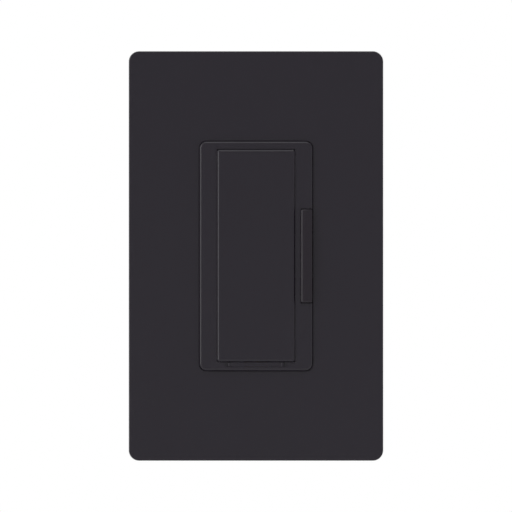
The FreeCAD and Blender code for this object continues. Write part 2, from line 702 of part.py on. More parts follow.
plate_front = -s.plate_depth
yoke_front = -s.yoke_thickness
adapter_front = yoke_front - s.adapter_thickness
bezel_front = -s.bezel_depth
paddle_front = -s.paddle_depth
plunger_tip = -s.plunger_tip
control_back = s.control_front + s.control_thickness
power_back = s.power_front + s.power_thickness
skirt_inner = s.paddle_half_width + s.paddle_side_gap
skirt_outer = skirt_inner + s.bezel_wall
bezel_half_width = s.bezel_width / 2
bezel_half_height = s.bezel_height / 2
outer_wall_inner = bezel_half_width - s.bezel_wall
channel_front = bezel_front + s.bezel_face
tab_slot_half = s.tab_half + s.tab_slot_gap
tab_high = s.paddle_bottom - s.paddle_gap
leaf_front = s.leaf_pivot_depth - s.leaf_eye_radius
leaf_back = leaf_front + s.leaf_thickness
contact_meet = leaf_back + s.contact_height
fixed_strip_front = contact_meet + s.touch_gap + s.contact_height
contact_height_middle = (s.leaf_low + s.leaf_high) / 2


# ---------------------------------------------------------------- wall plate

def make_wall_plate_cover():
    body = new_body("wall_plate_cover")
    half_width = s.plate_width / 2
    half_height = s.plate_height / 2
    shell = pad(body, "Y", plate_front, 0, rectangle(-half_width, half_width, -half_height, half_height))
    shell.setExpression("TaperAngle", (-s.plate_draft).text)
    doc.recompute()
    fillet(body, s.plate_corner, runs_in_depth(half_width, half_height, LEANING))
    fillet(body, s.plate_edge, front_loop(plate_front, half_width, half_height))
    inner_x = half_width - s.plate_wall
    inner_z = half_height - s.plate_wall
    face_back = plate_front + s.plate_face
    cut(body, "Y", face_back, 0, rectangle(-inner_x, inner_x, -inner_z, inner_z))
    fillet(body, s.plate_inner_corner, runs_in_depth(inner_x, inner_z))
    opening_x = s.opening_width / 2
    opening_z = s.opening_height / 2
    cut(body, "Y", plate_front, face_back, rectangle(-opening_x, opening_x, -opening_z, opening_z))
    fillet(body, s.opening_corner, runs_in_depth(opening_x, opening_z))
    fillet(body, s.opening_edge, front_loop(plate_front, opening_x, opening_z))
    add_snap_hooks(body, inner_x, inner_z)


def add_snap_hooks(body, inner_x, inner_z):
    """Four hooks on the side walls and four on the end walls catch behind the adapter's edge."""
    front = -s.hook_front
    back = -s.hook_back
    root = s.plate_wall / 2
    for side in (-1, 1):
        for end in (-1, 1):
            middle = s.hook_side_offset * end
            outline = polygon((side * (inner_x + root), front), (side * (inner_x - s.hook_reach), front),
                              (side * (inner_x + root), back))
            pad(body, "Z", middle - s.hook_width / 2, middle + s.hook_width / 2, outline)
            middle = s.hook_end_offset * end
            outline = polygon((front, side * (inner_z + root)), (front, side * (inner_z - s.hook_reach)),
                              (back, side * (inner_z + root)))
            pad(body, "X", middle - s.hook_width / 2, middle + s.hook_width / 2, outline)


def make_wall_plate_adapter():
    body = new_body("wall_plate_adapter")
    half_width = s.plate_width / 2 - s.plate_wall - s.adapter_gap
    half_height = s.plate_height / 2 - s.plate_wall - s.adapter_gap
    opening_x = bezel_half_width + s.adapter_opening_gap
    opening_z = bezel_half_height + s.adapter_opening_gap
    outer = rectangle(-half_width, half_width, -half_height, half_height)
    opening = rectangle(-opening_x, opening_x, -opening_z, opening_z)
    pad(body, "Y", adapter_front, yoke_front, outer, opening)
    rim_x = half_width - s.adapter_rim
    rim_z = half_height - s.adapter_rim
    pad(body, "Y", adapter_front - s.adapter_rim, adapter_front, outer, rectangle(-rim_x, rim_x, -rim_z, rim_z))
    fillet(body, s.adapter_corner, runs_in_depth(half_width, half_height))
    head_room = s.box_screw_head + s.head_clearance
    plate_screws = [disc(0, s.plate_screw_offset * end, s.plate_screw_hole) for end in (-1, 1)]
    box_screws = [disc(0, s.box_screw_offset * end, head_room) for end in (-1, 1)]
    cut(body, "Y", adapter_front, yoke_front, *plate_screws, *box_screws)
    chamfer(body, s.plate_screw_countersink, rim_circle(adapter_front, s.plate_screw_hole))


def countersunk_screw(label, front, head, sink, shank, end):
    """A flat-head screw along Y: its head's face at the front and its tip at the end."""
    body = new_body(label, is_node=False)
    tip = shank * s.tip_share
    turned(body, (0, front), (head, front), (shank, front + sink), (shank, end - tip), (tip, end), (0, end))
    cut(body, "Y", front, front + s.drive_slot_depth,
        plus_sign(head * s.drive_reach_share, s.drive_slot_width * s.drive_width_share))
    return body


def make_adapter_screws():
    screws = []
    for name, end in (("upper", 1), ("lower", -1)):
        screw = countersunk_screw(f"adapter_screw_{name}", adapter_front + s.touch_gap, s.plate_screw_head,
                                  s.plate_screw_sink, s.plate_screw_shank, s.plate_screw_end)
        screws.append(move_to(screw, z=s.plate_screw_offset * end))
    grouped("adapter_screws", screws)


# ---------------------------------------------------------------- yoke and its fasteners

def make_mounting_yoke():
    body = new_body("mounting_yoke")
    wide = s.yoke_width / 2
    narrow = s.yoke_ear_width / 2
    shoulder = s.yoke_shoulder
    top = s.yoke_half_height
    pad(body, "Y", yoke_front, 0, polygon(
        (narrow, -top), (narrow, -shoulder), (wide, -shoulder), (wide, shoulder),
        (narrow, shoulder), (narrow, top), (-narrow, top), (-narrow, shoulder),
        (-wide, shoulder), (-wide, -shoulder), (-narrow, -shoulder), (-narrow, -top)))
    fillet(body, s.yoke_corner, lambda edge: runs_in_depth(narrow, top)(edge)
           or runs_in_depth(wide, shoulder)(edge))
    cut(body, "Y", yoke_front, 0, *yoke_windows())
    cover_holes = [disc(s.boss_side * side, s.boss_height * end, s.cover_screw_hole)
                   for side in (-1, 1) for end in (-1, 1)]
    rivet_hole = s.rivet_radius + s.screw_hole_clear
    cut(body, "Y", yoke_front, 0, *cover_holes, disc(s.triac_side, s.triac_hole, rivet_hole))
    chamfer(body, s.cover_screw_chamfer, rim_circle(yoke_front, s.cover_screw_hole))
    chamfer(body, s.rivet_head - s.rivet_radius, rim_circle(yoke_front, rivet_hole))
    add_ground_tab(body, narrow)


def yoke_windows():
    """The holes of the yoke, from the ears to the middle."""
    holes = []
    for end in (-1, 1):
        holes.append(disc(0, s.plate_screw_offset * end, s.plate_screw_shank + s.screw_hole_clear))
        holes.append(slot(0, s.box_screw_offset * end, s.yoke_slot_half, s.yoke_slot_radius))
        leg_z = (s.leg_inner + s.leg_thickness / 2) * end
        for side in (-1, 1):
            holes.append(centred(s.leg_offset * side, leg_z, s.leg_width / 2 + s.catch_gap,
                                 s.leg_thickness / 2 + s.leg_gap))
        holes.append(switch_window(s.dim_switch_side, s.dim_switch_height * end, s.dim_case_half, s.window_gap))
        holes.append(centred(s.clip_offset * end, s.clip_low + s.clip_thickness / 2,
                             s.clip_half + s.window_gap, s.clip_thickness / 2 + s.catch_gap))
    holes.append(switch_window(0, s.tap_switch_height, s.tap_case_half, s.window_gap))
    holes.append(rectangle(-s.tab_stem_half - s.window_gap, s.tab_stem_half + s.window_gap,
                           s.tab_low - s.window_gap, tab_high + s.window_gap))
    return holes


def switch_window(x, z, case_half, gap):
    """The outline of a hole round a tact switch, with room for its cover's side legs."""
    return centred(x, z, case_half + s.cover_leg + gap, case_half + gap)


def add_ground_tab(body, ear):
    """A tab bent back from the lower ear takes the ground screw."""
    pad(body, "X", -ear, -ear + s.ground_tab_thickness,
        rectangle(yoke_front, s.ground_tab_end, s.ground_tab_low, s.ground_tab_high))
    middle = (s.ground_tab_low + s.ground_tab_high) / 2
    cut(body, "X", -ear, -ear + s.ground_tab_thickness,
        disc(s.ground_screw_depth, middle, s.ground_screw_radius + s.screw_hole_clear))


def make_device_screws():
    screws = []
    head_front = yoke_front - s.box_screw_head_height
    for name, end in (("upper", 1), ("lower", -1)):
        body = new_body(f"device_screw_{name}", is_node=False)
        radius = s.box_screw_radius
        tip = radius * s.tip_share
        turned(body, (0, head_front), (s.box_screw_head * s.pan_face_share, head_front),
               (s.box_screw_head, head_front + s.box_screw_head_height * s.pan_bevel_share),
               (s.box_screw_head, yoke_front), (s.box_screw_neck, yoke_front),
               (s.box_screw_neck, s.box_screw_neck_end), (radius, s.box_screw_neck_end),
               (radius, s.box_screw_end - tip), (tip, s.box_screw_end), (0, s.box_screw_end))
        cut(body, "Y", head_front, head_front + s.drive_slot_depth,
            plus_sign(s.box_screw_head * s.drive_reach_share, s.drive_slot_width * s.drive_width_share))
        screws.append(move_to(body, z=s.box_screw_offset * end))
    grouped("device_screws", screws)


def make_screw_retainers():
    washers = []
    for name, end in (("upper", 1), ("lower", -1)):
        body = new_body(f"screw_retainer_{name}", is_node=False)
        pad(body, "Y", 0, s.retainer_thickness, disc(0, 0, s.retainer_radius),
            disc(0, 0, s.box_screw_neck + s.screw_hole_clear))
        washers.append(move_to(body, z=s.box_screw_offset * end))
    grouped("screw_retainers", washers)


def slotted_screw(label, head, head_height, shank, length):
    """A binding-head screw along Y: its head ahead of the origin and its shank behind."""
    body = new_body(label)
    tip = shank * s.tip_share
    turned(body, (0, -head_height), (head * s.head_face_share, -head_height),
           (head, head_height * s.head_bevel_share - head_height), (head, 0), (shank, 0),
           (shank, length - (shank - tip)), (tip, length), (0, length))
    slot_half = s.drive_slot_width / 2
    cut(body, "Y", -head_height, s.drive_slot_depth - head_height,
        rectangle(-head, head, -slot_half, slot_half))
    return body


def make_ground_screw():
    ear = -s.yoke_ear_width / 2
    body = slotted_screw("ground_screw", s.ground_head, s.ground_head_height, s.ground_screw_radius,
                         s.ground_screw_end - ear)
    middle = (s.ground_tab_low + s.ground_tab_high) / 2
    move_to(body, ear, s.ground_screw_depth, middle, turn_about_z=-90)


# ---------------------------------------------------------------- bezel, paddle, rocker, service tab

def make_bezel_frame():
    body = new_body("bezel_frame")
    pad(body, "Y", bezel_front, yoke_front,
        rectangle(-bezel_half_width, bezel_half_width, -bezel_half_height, bezel_half_height))
    fillet(body, s.bezel_corner, runs_in_depth(bezel_half_width, bezel_half_height))
    fillet(body, s.bezel_edge, front_loop(bezel_front, bezel_half_width, bezel_half_height))
    opening_low = s.paddle_bottom - s.paddle_gap
    opening_high = s.paddle_top + s.paddle_gap
    cut(body, "Y", bezel_front, yoke_front,
        polygon((-skirt_inner, opening_high), (-skirt_inner, opening_low),
                (-tab_slot_half, opening_low), (-tab_slot_half, s.tab_low - s.tab_slot_gap),
                (tab_slot_half, s.tab_low - s.tab_slot_gap), (tab_slot_half, opening_low),
                (skirt_inner, opening_low), (skirt_inner, opening_high)))
    channels = [rectangle(skirt_outer, outer_wall_inner, -s.bezel_channel_half, s.bezel_channel_half),
                rectangle(-outer_wall_inner, -skirt_outer, -s.bezel_channel_half, s.bezel_channel_half)]
    cut(body, "Y", channel_front, yoke_front, *channels)
    notch_half = s.rocker_half + s.rocker_end_gap
    cut(body, "Y", bezel_front, -s.notch_back,
        rectangle(s.rocker_left - s.rocker_side_gap, bezel_half_width + s.bezel_wall,
                  -notch_half, notch_half))
    add_bezel_details(body, opening_low)


def add_bezel_details(body, opening_low):
    """Nail notches beside the service tab, pin sockets, and the legs that snap through the yoke."""
    notch_low = s.tab_low - s.tab_slot_gap
    for side in (-1, 1):
        notch_inner = tab_slot_half * side
        notch_outer = (tab_slot_half + s.nail_notch_width) * side
        cut(body, "Y", bezel_front, bezel_front + s.nail_notch_depth,
            rectangle(notch_inner, notch_outer, notch_low, opening_low))
    socket = s.trunnion_radius + s.socket_clear
    socket_end = skirt_inner + s.trunnion_reach
    cut(body, "X", -socket_end, socket_end, disc(-s.trunnion_depth, s.trunnion_height, socket))
    cut(body, "X", skirt_inner, bezel_half_width,
        disc(-s.rocker_pivot_depth, 0, s.rocker_pin_radius + s.socket_clear))
    inner = s.leg_inner
    outer = s.leg_inner + s.leg_thickness
    for side in (-1, 1):
        middle = s.leg_offset * side
        for end in (-1, 1):
            hook = polygon((yoke_front - s.bezel_wall, end * inner), (yoke_front - s.bezel_wall, end * outer),
                           (s.leg_end, end * outer), (s.leg_end, end * inner),
                           (s.catch_gap, end * (inner - s.leg_catch)), (s.catch_gap, end * inner))
            pad(body, "X", middle - s.leg_width / 2, middle + s.leg_width / 2, hook)


def make_tap_paddle():
    body = new_body("tap_paddle")
    side = s.paddle_half_width
    pad(body, "Y", paddle_front, -s.paddle_back, rectangle(-side, side, s.paddle_bottom, s.paddle_top))
    fillet(body, s.paddle_corner, lambda edge: edge.BoundBox.YLength > 1)
    fillet(body, s.paddle_edge, lambda edge: near(edge.BoundBox.YMax, paddle_front))
    inside = side - s.paddle_skin
    skin_back = paddle_front + s.paddle_skin
    cut(body, "Y", skin_back, -s.paddle_back,
        rectangle(-inside, inside, s.paddle_bottom + s.paddle_skin, s.paddle_top - s.paddle_skin))
    root = skin_back - s.touch_gap
    for sign in (-1, 1):
        ear_inner = sign * (side - s.paddle_skin)
        pad(body, "Y", -s.paddle_back - s.touch_gap, -s.ear_back,
            rectangle(ear_inner, sign * side, s.paddle_top - s.ear_height, s.paddle_top - s.paddle_corner))
        pin_ends = in_order(ear_inner, (side + s.trunnion_reach) * sign)
        pad(body, "X", *pin_ends, disc(-s.trunnion_depth, s.trunnion_height, s.trunnion_radius))
        pad(body, "Y", root, -s.foot_back,
            centred(s.foot_offset * sign, s.foot_height, s.foot_half, s.foot_half))
        clip = s.clip_offset * sign
        clip_high = s.clip_low + s.clip_thickness
        pad(body, "X", clip - s.clip_half, clip + s.clip_half,
            polygon((root, clip_high), (root, s.clip_low), (s.catch_gap, s.clip_low),
                    (s.catch_gap, s.clip_low - s.clip_catch), (s.clip_end, s.clip_low),
                    (s.clip_end, clip_high)))
    pad(body, "Y", root, plunger_tip - s.touch_gap, centred(0, s.tap_switch_height, s.rib_half, s.rib_half))
    stiffener = s.paddle_skin / 2
    for height in (s.stiffener_low, s.stiffener_middle, s.stiffener_high):
        pad(body, "Y", root, -s.paddle_back,
            rectangle(-inside - s.touch_gap, inside + s.touch_gap,
                      height - stiffener / 2, height + stiffener / 2))


def runs_up_at(x):
    """Picks the front edge that runs in height at x."""
    def test(edge):
        box = edge.BoundBox
        upright = box.ZLength > 1 and box.XLength < FLAT
        return upright and near(box.XMin, x) and box.YMax < -s.bezel_depth.value
    return test


def at_rocker_end(edge):
    """Picks the front edges round both ends of the rocker's cap."""
    box = edge.BoundBox
    at_end = abs(box.ZMin) > s.rocker_half.value - FLAT and box.ZLength < FLAT
    return at_end and box.XLength > FLAT and box.YMax < -s.bezel_depth.value


def make_dimming_rocker():
    body = new_body("dimming_rocker")
    left, right = s.rocker_left, s.rocker_right
    cap_back = -s.rocker_cap_back
    pad(body, "Z", -s.rocker_half, s.rocker_half,
        polygon((left, cap_back), (left, -s.rocker_depth), (s.rocker_crest, -s.rocker_depth),
                (right, -s.rocker_shoulder), (right, cap_back)))
    fillet(body, s.rocker_crest_round, runs_up_at(s.rocker_crest))
    fillet(body, s.rocker_round, runs_up_at(left))
    fillet(body, s.rocker_right_round, runs_up_at(right))
    fillet(body, s.rocker_end_round, at_rocker_end)
    pad(body, "Y", cap_back - s.touch_gap, -s.rocker_stem_back,
        rectangle(left, s.rocker_stem_right, -s.rocker_stem_half, s.rocker_stem_half))
    feet = [rectangle(left, s.rocker_stem_right, s.dim_switch_height * end - s.dim_foot_half,
                      s.dim_switch_height * end + s.dim_foot_half) for end in (-1, 1)]
    pad(body, "Y", -s.rocker_stem_back - s.touch_gap, plunger_tip - s.touch_gap, *feet)
    pad(body, "X", s.rocker_pin_left, s.rocker_pin_right,
        disc(-s.rocker_pivot_depth, 0, s.rocker_pin_radius))


def make_service_switch_tab():
    body = new_body("service_switch_tab")
    front = -s.tab_depth
    lip_back = front + s.tab_lip
    shoulder = s.tab_nose_end - s.tab_nose_length
    pad(body, "Z", s.tab_low, tab_high,
        polygon((-s.tab_half, front), (s.tab_half, front), (s.tab_half, lip_back), (s.tab_stem_half, lip_back),
                (s.tab_stem_half, s.tab_stop_front), (s.tab_stop_half, s.tab_stop_front),
                (s.tab_stop_half, s.tab_stop_back), (s.tab_nose_half, shoulder),
                (s.tab_nose_half, s.tab_nose_end), (-s.tab_nose_half, s.tab_nose_end),
                (-s.tab_nose_half, shoulder), (-s.tab_stop_half, s.tab_stop_back),
                (-s.tab_stop_half, s.tab_stop_front), (-s.tab_stem_half, s.tab_stop_front),
                (-s.tab_stem_half, lip_back), (-s.tab_half, lip_back)))
    fillet(body, s.tab_nose_round, lambda edge: edge.BoundBox.ZLength > 0.5
           and near(edge.BoundBox.YMax, s.tab_nose_end))
    fillet(body, s.tab_edge, lambda edge: near(edge.BoundBox.YMax, front))
    ridge_front = front - s.tab_ridge_height
    ridges = [rectangle(s.tab_ridge_side * side - s.tab_ridge_half, s.tab_ridge_side * side + s.tab_ridge_half,
                        s.tab_low + s.tab_edge, tab_high - s.tab_edge) for side in (-1, 1)]
    pad(body, "Y", ridge_front, front + s.touch_gap, *ridges)
    fillet(body, s.tab_ridge_round, lambda edge: near(edge.BoundBox.YMax, ridge_front))


# ---------------------------------------------------------------- tact switches

def make_tact_switch(prefix, kind, x, z):
    """Base, metal cover, plunger and snap dome of one tact switch on the control board."""
    names = ("case_half", "plunger_radius", "flange_radius", "cavity_radius", "flange_front", "flange_back")
    half, plunger_r, flange, cavity, flange_front, flange_back = (getattr(s, f"{kind}_{name}") for name in names)
    cover_front = -s.switch_front
    cover_back = cover_front + s.switch_cover
    base = new_body(f"{prefix}_switch_base")
    pad(base, "Y", cover_back, s.control_front, centred(0, 0, half, half))
    cut(base, "Y", cover_back, s.cavity_end, disc(0, 0, cavity))
    cover = new_body(f"{prefix}_switch_cover")
    pad(cover, "Y", cover_front, cover_back, centred(0, 0, half + s.cover_leg, half),
        disc(0, 0, plunger_r + s.plunger_clear))
    for side in (-1, 1):
        pad(cover, "Y", cover_back, s.cover_leg_end,
            centred((half + s.cover_leg / 2) * side, 0, s.cover_leg / 2, half / 2))
    plunger = new_body(f"{prefix}_switch_plunger")
    turned(plunger, (0, plunger_tip), (plunger_r - s.plunger_round, plunger_tip),
           (plunger_r, plunger_tip + s.plunger_round), (plunger_r, flange_front), (flange, flange_front),
           (flange, flange_back), (0, flange_back))
    dome = new_body(f"{prefix}_switch_dome")
    crown = flange_back + s.touch_gap
    rim = crown + s.dome_rim
    knee = crown + s.dome_knee
    thickness = s.dome_thickness
    turned(dome, (0, crown), (flange / 2, knee), (flange, rim), (flange, rim + thickness),
           (flange / 2, knee + thickness), (0, crown + thickness))
    for piece in (base, cover, plunger, dome):
        move_to(piece, x, 0, z)


# ---------------------------------------------------------------- service contacts

def make_service_contacts():
    leaf = new_body("service_contact_leaf")
    pivot_x, pivot_y = s.leaf_pivot_side, s.leaf_pivot_depth
    pad(leaf, "Z", s.leaf_low, s.leaf_high, disc(pivot_x, pivot_y, s.leaf_eye_radius))
    pad(leaf, "Z", s.leaf_low, s.leaf_high, rectangle(pivot_x, s.leaf_end, leaf_front, leaf_back))
    cut(leaf, "Z", s.leaf_low, s.leaf_high, disc(pivot_x, pivot_y, s.leaf_pin_radius + s.screw_hole_clear))
    middle = contact_height_middle
    button = new_body("service_moving_contact")
    pad(button, "Y", leaf_back, leaf_back + s.contact_height, disc(s.contact_side, middle, s.contact_radius))

    bracket = new_body("leaf_bracket")
    strip_back = s.bracket_front + s.strip_thickness
    ear_x = s.leaf_pin_radius + s.ear_width_margin
    left, right = pivot_x - s.strip_half, pivot_x + s.strip_half
    pad(bracket, "Y", s.bracket_front, strip_back, rectangle(left, right, s.strip_low, s.strip_high))
    pad(bracket, "Y", power_back, s.bracket_front + s.touch_gap,
        rectangle(left, right, s.strip_high - s.strip_thickness, s.strip_high))
    for low in (s.strip_low, s.leaf_high + s.screw_hole_clear * 2):
        pad(bracket, "Z", low, low + s.bracket_ear,
            rectangle(pivot_x - ear_x, pivot_x + ear_x, pivot_y - ear_x, s.bracket_front + s.touch_gap))
    pad(bracket, "Z", s.strip_low, s.leaf_high + s.bracket_ear, disc(pivot_x, pivot_y, s.leaf_pin_radius))

    fixed = new_body("service_fixed_contact")
    left, right = s.contact_side - s.strip_half, s.contact_side + s.strip_half
    pad(fixed, "Y", fixed_strip_front, fixed_strip_front + s.strip_thickness,
        rectangle(left, right, s.strip_low, s.strip_high))
    pad(fixed, "Y", power_back, fixed_strip_front + s.touch_gap,
        rectangle(left, right, s.strip_high - s.strip_thickness, s.strip_high))
    pad(fixed, "Y", contact_meet + s.touch_gap, fixed_strip_front, disc(s.contact_side, middle, s.contact_radius))


# ---------------------------------------------------------------- boards and components

# Lower edge of each row of chips
CHIP_ROWS = (-20.0, -17.5, 0.0, 2.5, 15.5, 18.0)


def make_boards():
    block("control_board", (s.control_left, s.control_right), (s.control_front, control_back),
          (s.board_low, s.board_high), is_node=True)
    block("power_board", (-s.power_half, s.power_half), (s.power_front, power_back),
          (s.board_low, s.board_high), is_node=True)
    pins = []
    low = s.board_low + s.pin_inset
    for number in range(int(s.pin_count.value)):
        left = s.control_left + s.pin_inset + s.triac_pitch * number
        pins.append(block(f"board_pin_{number}", (left, left + s.pin_width), (control_back, s.power_front),
                          (low, low + s.pin_width)))
    grouped("board_pins", pins)
    chips = []
    chip_back = control_back + s.chip_thickness
    for row, height in enumerate(CHIP_ROWS):
        for column in range(2):
            left = s.chip_column - s.chip_pitch * column - s.chip_stagger * (row % 2)
            chips.append(block(f"chip_{row}_{column}", (left, left + s.chip_length), (control_back, chip_back),
                               (height, height + s.chip_width)))
    grouped("chip_parts", chips)


def make_insulator_sheet():
    body = new_body("insulator_sheet")
    back = s.sheet_front + s.sheet_thickness
    pad(body, "Y", s.sheet_front, back, rectangle(s.control_left, s.power_half, s.sheet_low, s.board_high))
    room = s.window_gap / 2
    windows = [switch_window(s.dim_switch_side, s.dim_switch_height * end, s.dim_case_half, room)
               for end in (-1, 1)]
    cut(body, "Y", s.sheet_front, back, switch_window(0, s.tap_switch_height, s.tap_case_half, room), *windows)


def make_microcontroller():
    """A square flat pack on the back of the control board, with eight pins on each side."""
    x, z, half = s.pack_side, s.pack_height, s.pack_half
    case_front = control_back + s.pack_stand
    pin_back = control_back + s.pack_pin_height
    parts = [block("microcontroller_case", (x - half, x + half), (case_front, case_front + s.pack_thickness),
                   (z - half, z + half))]
    count = int(s.pack_pin_count.value)
    for number in range(count):
        offset = s.pack_pin_pitch * (number - (count - 1) / 2)
        across = (offset - s.pack_pin_width / 2, offset + s.pack_pin_width / 2)
        for side in (-1, 1):
            along = in_order((half - s.pack_pin_root) * side, (half + s.pack_pin_reach) * side)
            parts.append(block(f"pin_x_{number}_{side}", (x + along[0], x + along[1]),
                               (control_back, pin_back), (z + across[0], z + across[1])))
            parts.append(block(f"pin_z_{number}_{side}", (x + across[0], x + across[1]),
                               (control_back, pin_back), (z + along[0], z + along[1])))
    fused("microcontroller", parts)


def make_triac():
    """Flat plastic case on a metal tab, riveted to the yoke, with three bent legs to the power board."""
    x = s.triac_side
    low, high = s.triac_low, s.triac_low + s.triac_body_height
    tab_high_end = high + s.triac_tab_height
    front = s.triac_front
    tab_back = front + s.triac_tab_thickness
    case_back = front + s.triac_body_thickness
    hole = s.rivet_radius + s.screw_hole_clear
    body = new_body("triac")
    pad(body, "Y", front, case_back, rectangle(x - s.triac_half, x + s.triac_half, low, high))
    chamfer(body, s.triac_chamfer, lambda edge: near(edge.BoundBox.YMin, case_back))
    pad(body, "Y", front, tab_back,
        rectangle(x - s.triac_half, x + s.triac_half, high - s.triac_overlap, tab_high_end))
    cut(body, "Y", front, tab_back, disc(x, s.triac_hole, hole))
    leg_front = front + s.triac_leg_front
    leg_back = leg_front + s.triac_leg_thickness
    leg_low = low - s.triac_leg_drop
    leg_foot = leg_low + s.triac_leg_thickness
    leg_root = low + s.triac_overlap
    for number in (-1, 0, 1):
        leg = x + s.triac_pitch * number
        pad(body, "X", leg - s.triac_leg_half, leg + s.triac_leg_half,
            polygon((leg_front, leg_root), (leg_front, leg_low), (s.power_front, leg_low),
                    (s.power_front, leg_foot), (leg_back, leg_foot), (leg_back, leg_root)))
    sheet = new_body("triac_insulator")
    half = s.triac_half + s.triac_pad_side
    pad(sheet, "Y", 0, front - s.touch_gap,
        rectangle(x - half, x + half, low - s.triac_pad_end, tab_high_end + s.triac_pad_end),
        disc(x, s.triac_hole, hole))
    rivet = new_body("triac_rivet")
    head, shank = s.rivet_head, s.rivet_radius
    turned(rivet, (0, yoke_front), (head, yoke_front), (shank, yoke_front + (head - shank)), (shank, tab_back),
           (head, tab_back), (head * s.head_face_share, tab_back + s.rivet_dome), (0, tab_back + s.rivet_crown))
    move_to(rivet, x, 0, s.triac_hole)


def make_choke():
    """A toroid core and the turns of wire round its section."""
    core = new_body("choke_core")
    back = s.choke_front + s.choke_thickness
    pad(core, "Y", s.choke_front, back, disc(0, 0, s.choke_outer), disc(0, 0, s.choke_bore))
    fillet(core, s.choke_round, is_circle)
    move_to(core, 0, 0, s.choke_height)

    wire = s.wire_thickness.value
    gap = s.wire_gap.value
    radial_low = s.choke_bore.value - gap
    radial_high = s.choke_outer.value + gap
    depth_low = s.choke_front.value - gap
    depth_high = back.value + gap
    outer = Part.makeBox(radial_high - radial_low + 2 * wire, depth_high - depth_low + 2 * wire, wire,
                         V(radial_low - wire, depth_low - wire, -wire / 2))
    inner = Part.makeBox(radial_high - radial_low, depth_high - depth_low, wire * 2,
                         V(radial_low, depth_low, -wire))
    turn = outer.cut(inner)
    turn = turn.makeFillet(wire * s.wire_round_share.value, turn.Edges)
    turns = []
    count = int(s.choke_turns.value)
    for number in range(count):
        copy = turn.copy()
        copy.rotate(V(0, 0, 0), V(0, 1, 0), 360.0 * number / count)
        turns.append(copy)
    winding = doc.addObject("Part::Feature", "choke_winding")
    winding.Label = "choke_winding"
    winding.Shape = Part.makeCompound(turns)
    move_to(winding, 0, 0, s.choke_height)
    nodes.append(winding)


def make_power_parts():
    """The larger parts that stand on the back of the power board."""
    film = new_body("film_capacitor")
    pad(film, "Y", power_back, power_back + s.film_height,
        rectangle(-s.film_half, s.film_half, s.film_low, s.film_high))
    fillet(film, s.film_edge, lambda edge: edge.BoundBox.YMax > power_back.value + FLAT)

    can = new_body("electrolytic_capacitor")
    top = power_back + s.can_height
    turned(can, (0, power_back), (s.can_seal, power_back), (s.can_radius, power_back + s.can_seal_height),
           (s.can_radius, power_back + s.can_neck_start), (s.can_neck, power_back + s.can_neck_middle),
           (s.can_radius, power_back + s.can_neck_end), (s.can_radius, top - s.can_bevel),
           (s.can_radius - s.can_bevel, top), (s.can_vent, top), (s.can_vent, top - s.can_vent_depth),
           (0, top - s.can_vent_depth))
    move_to(can, s.can_side, 0, s.can_middle)

    varistor = new_body("varistor")
    high = s.varistor_low + s.varistor_thickness
    axis_y = power_back + s.varistor_stand
    pad(varistor, "Z", s.varistor_low, high, disc(s.varistor_side, axis_y, s.varistor_radius))
    fillet(varistor, s.varistor_round, is_circle)
    for side in (-1, 1):
        pad(varistor, "Y", power_back, axis_y - s.varistor_radius / 2,
            disc(s.varistor_side + s.varistor_lead * side, (s.varistor_low + high) / 2, s.lead_radius))

    make_axial_part("power_resistor", s.resistor_height, s.resistor_radius, s.resistor_half)
    make_axial_part("rectifier_diode", s.diode_height, s.diode_radius, s.diode_half)


def make_axial_part(label, height, radius, half):
    """A round body lying along X, with a straight lead at each end that bends down to the board."""
    part = new_body(label)
    axis_y = power_back + s.axial_stand
    reach = half + s.axial_lead
    lead = s.lead_radius
    pad(part, "X", s.axial_middle - half, s.axial_middle + half, disc(axis_y, height, radius))
    fillet(part, radius * s.axial_round_share, is_circle)
    pad(part, "X", s.axial_middle - reach, s.axial_middle + reach, disc(axis_y, height, lead))
    for side in (-1, 1):
        pad(part, "Y", power_back, axis_y,
            disc(s.axial_middle + (reach - lead) * side, height, s.lead_bend_radius))


# ---------------------------------------------------------------- back cover and terminals

# Name of a terminal, its side of the housing and its height in terminal heights
TERMINALS = (("line", 1, 1), ("load", 1, -1), ("traveler", -1, -1))


def make_back_cover():
    body = new_body("back_cover")
    wide, tall, back = s.housing_half_width, s.housing_half_height, s.housing_depth
    pad(body, "Y", 0, back, rectangle(-wide, wide, -tall, tall))
    fillet(body, s.housing_corner, runs_in_depth(wide, tall))
    fillet(body, s.housing_edge, front_loop(back, wide, tall))
    inner_x, inner_z = wide - s.housing_wall, tall - s.housing_wall
    floor = back - s.housing_floor
    cut(body, "Y", 0, floor, rectangle(-inner_x, inner_x, -inner_z, inner_z))
    bosses = [disc(s.boss_side * side, s.boss_height * end, s.boss_radius) for side in (-1, 1) for end in (-1, 1)]
    pad(body, "Y", 0, s.boss_depth, *bosses)
    pilots = [disc(s.boss_side * side, s.boss_height * end, s.cover_screw_pilot)
              for side in (-1, 1) for end in (-1, 1)]
    cut(body, "Y", 0, s.boss_depth - s.boss_end, *pilots)
    posts = [disc(s.post_side * side, height, s.post_radius)
             for side in (-1, 1) for height in (s.post_top, s.post_bottom)]
    pad(body, "Y", power_back, floor + s.touch_gap, *posts)
    for name, side, end in TERMINALS:
        add_terminal_block(body, side, s.terminal_height * end)
    add_back_cover_details(body)


def add_back_cover_details(body):
    """Bevelled wire entries, a blank panel and a strip-length gauge behind, and low ribs on both ends."""
    back, tall = s.housing_depth, s.housing_half_height
    chamfer(body, s.entry_lead_in, rim_circle(back, s.wire_hole_radius))
    cut(body, "Y", back - s.panel_depth, back, centred(0, 0, s.panel_half_width, s.panel_half_height))
    cut(body, "Y", back - s.gauge_depth, back,
        centred(0, s.gauge_height, s.gauge_half_length, s.gauge_half_width))
    for end in (-1, 1):
        ends = in_order((tall - s.touch_gap) * end, (tall + s.rib_height) * end)
        ribs = [rectangle(s.rib_offset * side - s.rib_width / 2, s.rib_offset * side + s.rib_width / 2, *ends)
                for side in (-1, 0, 1)]
        pad(body, "Y", s.rib_front, s.rib_back, *ribs)


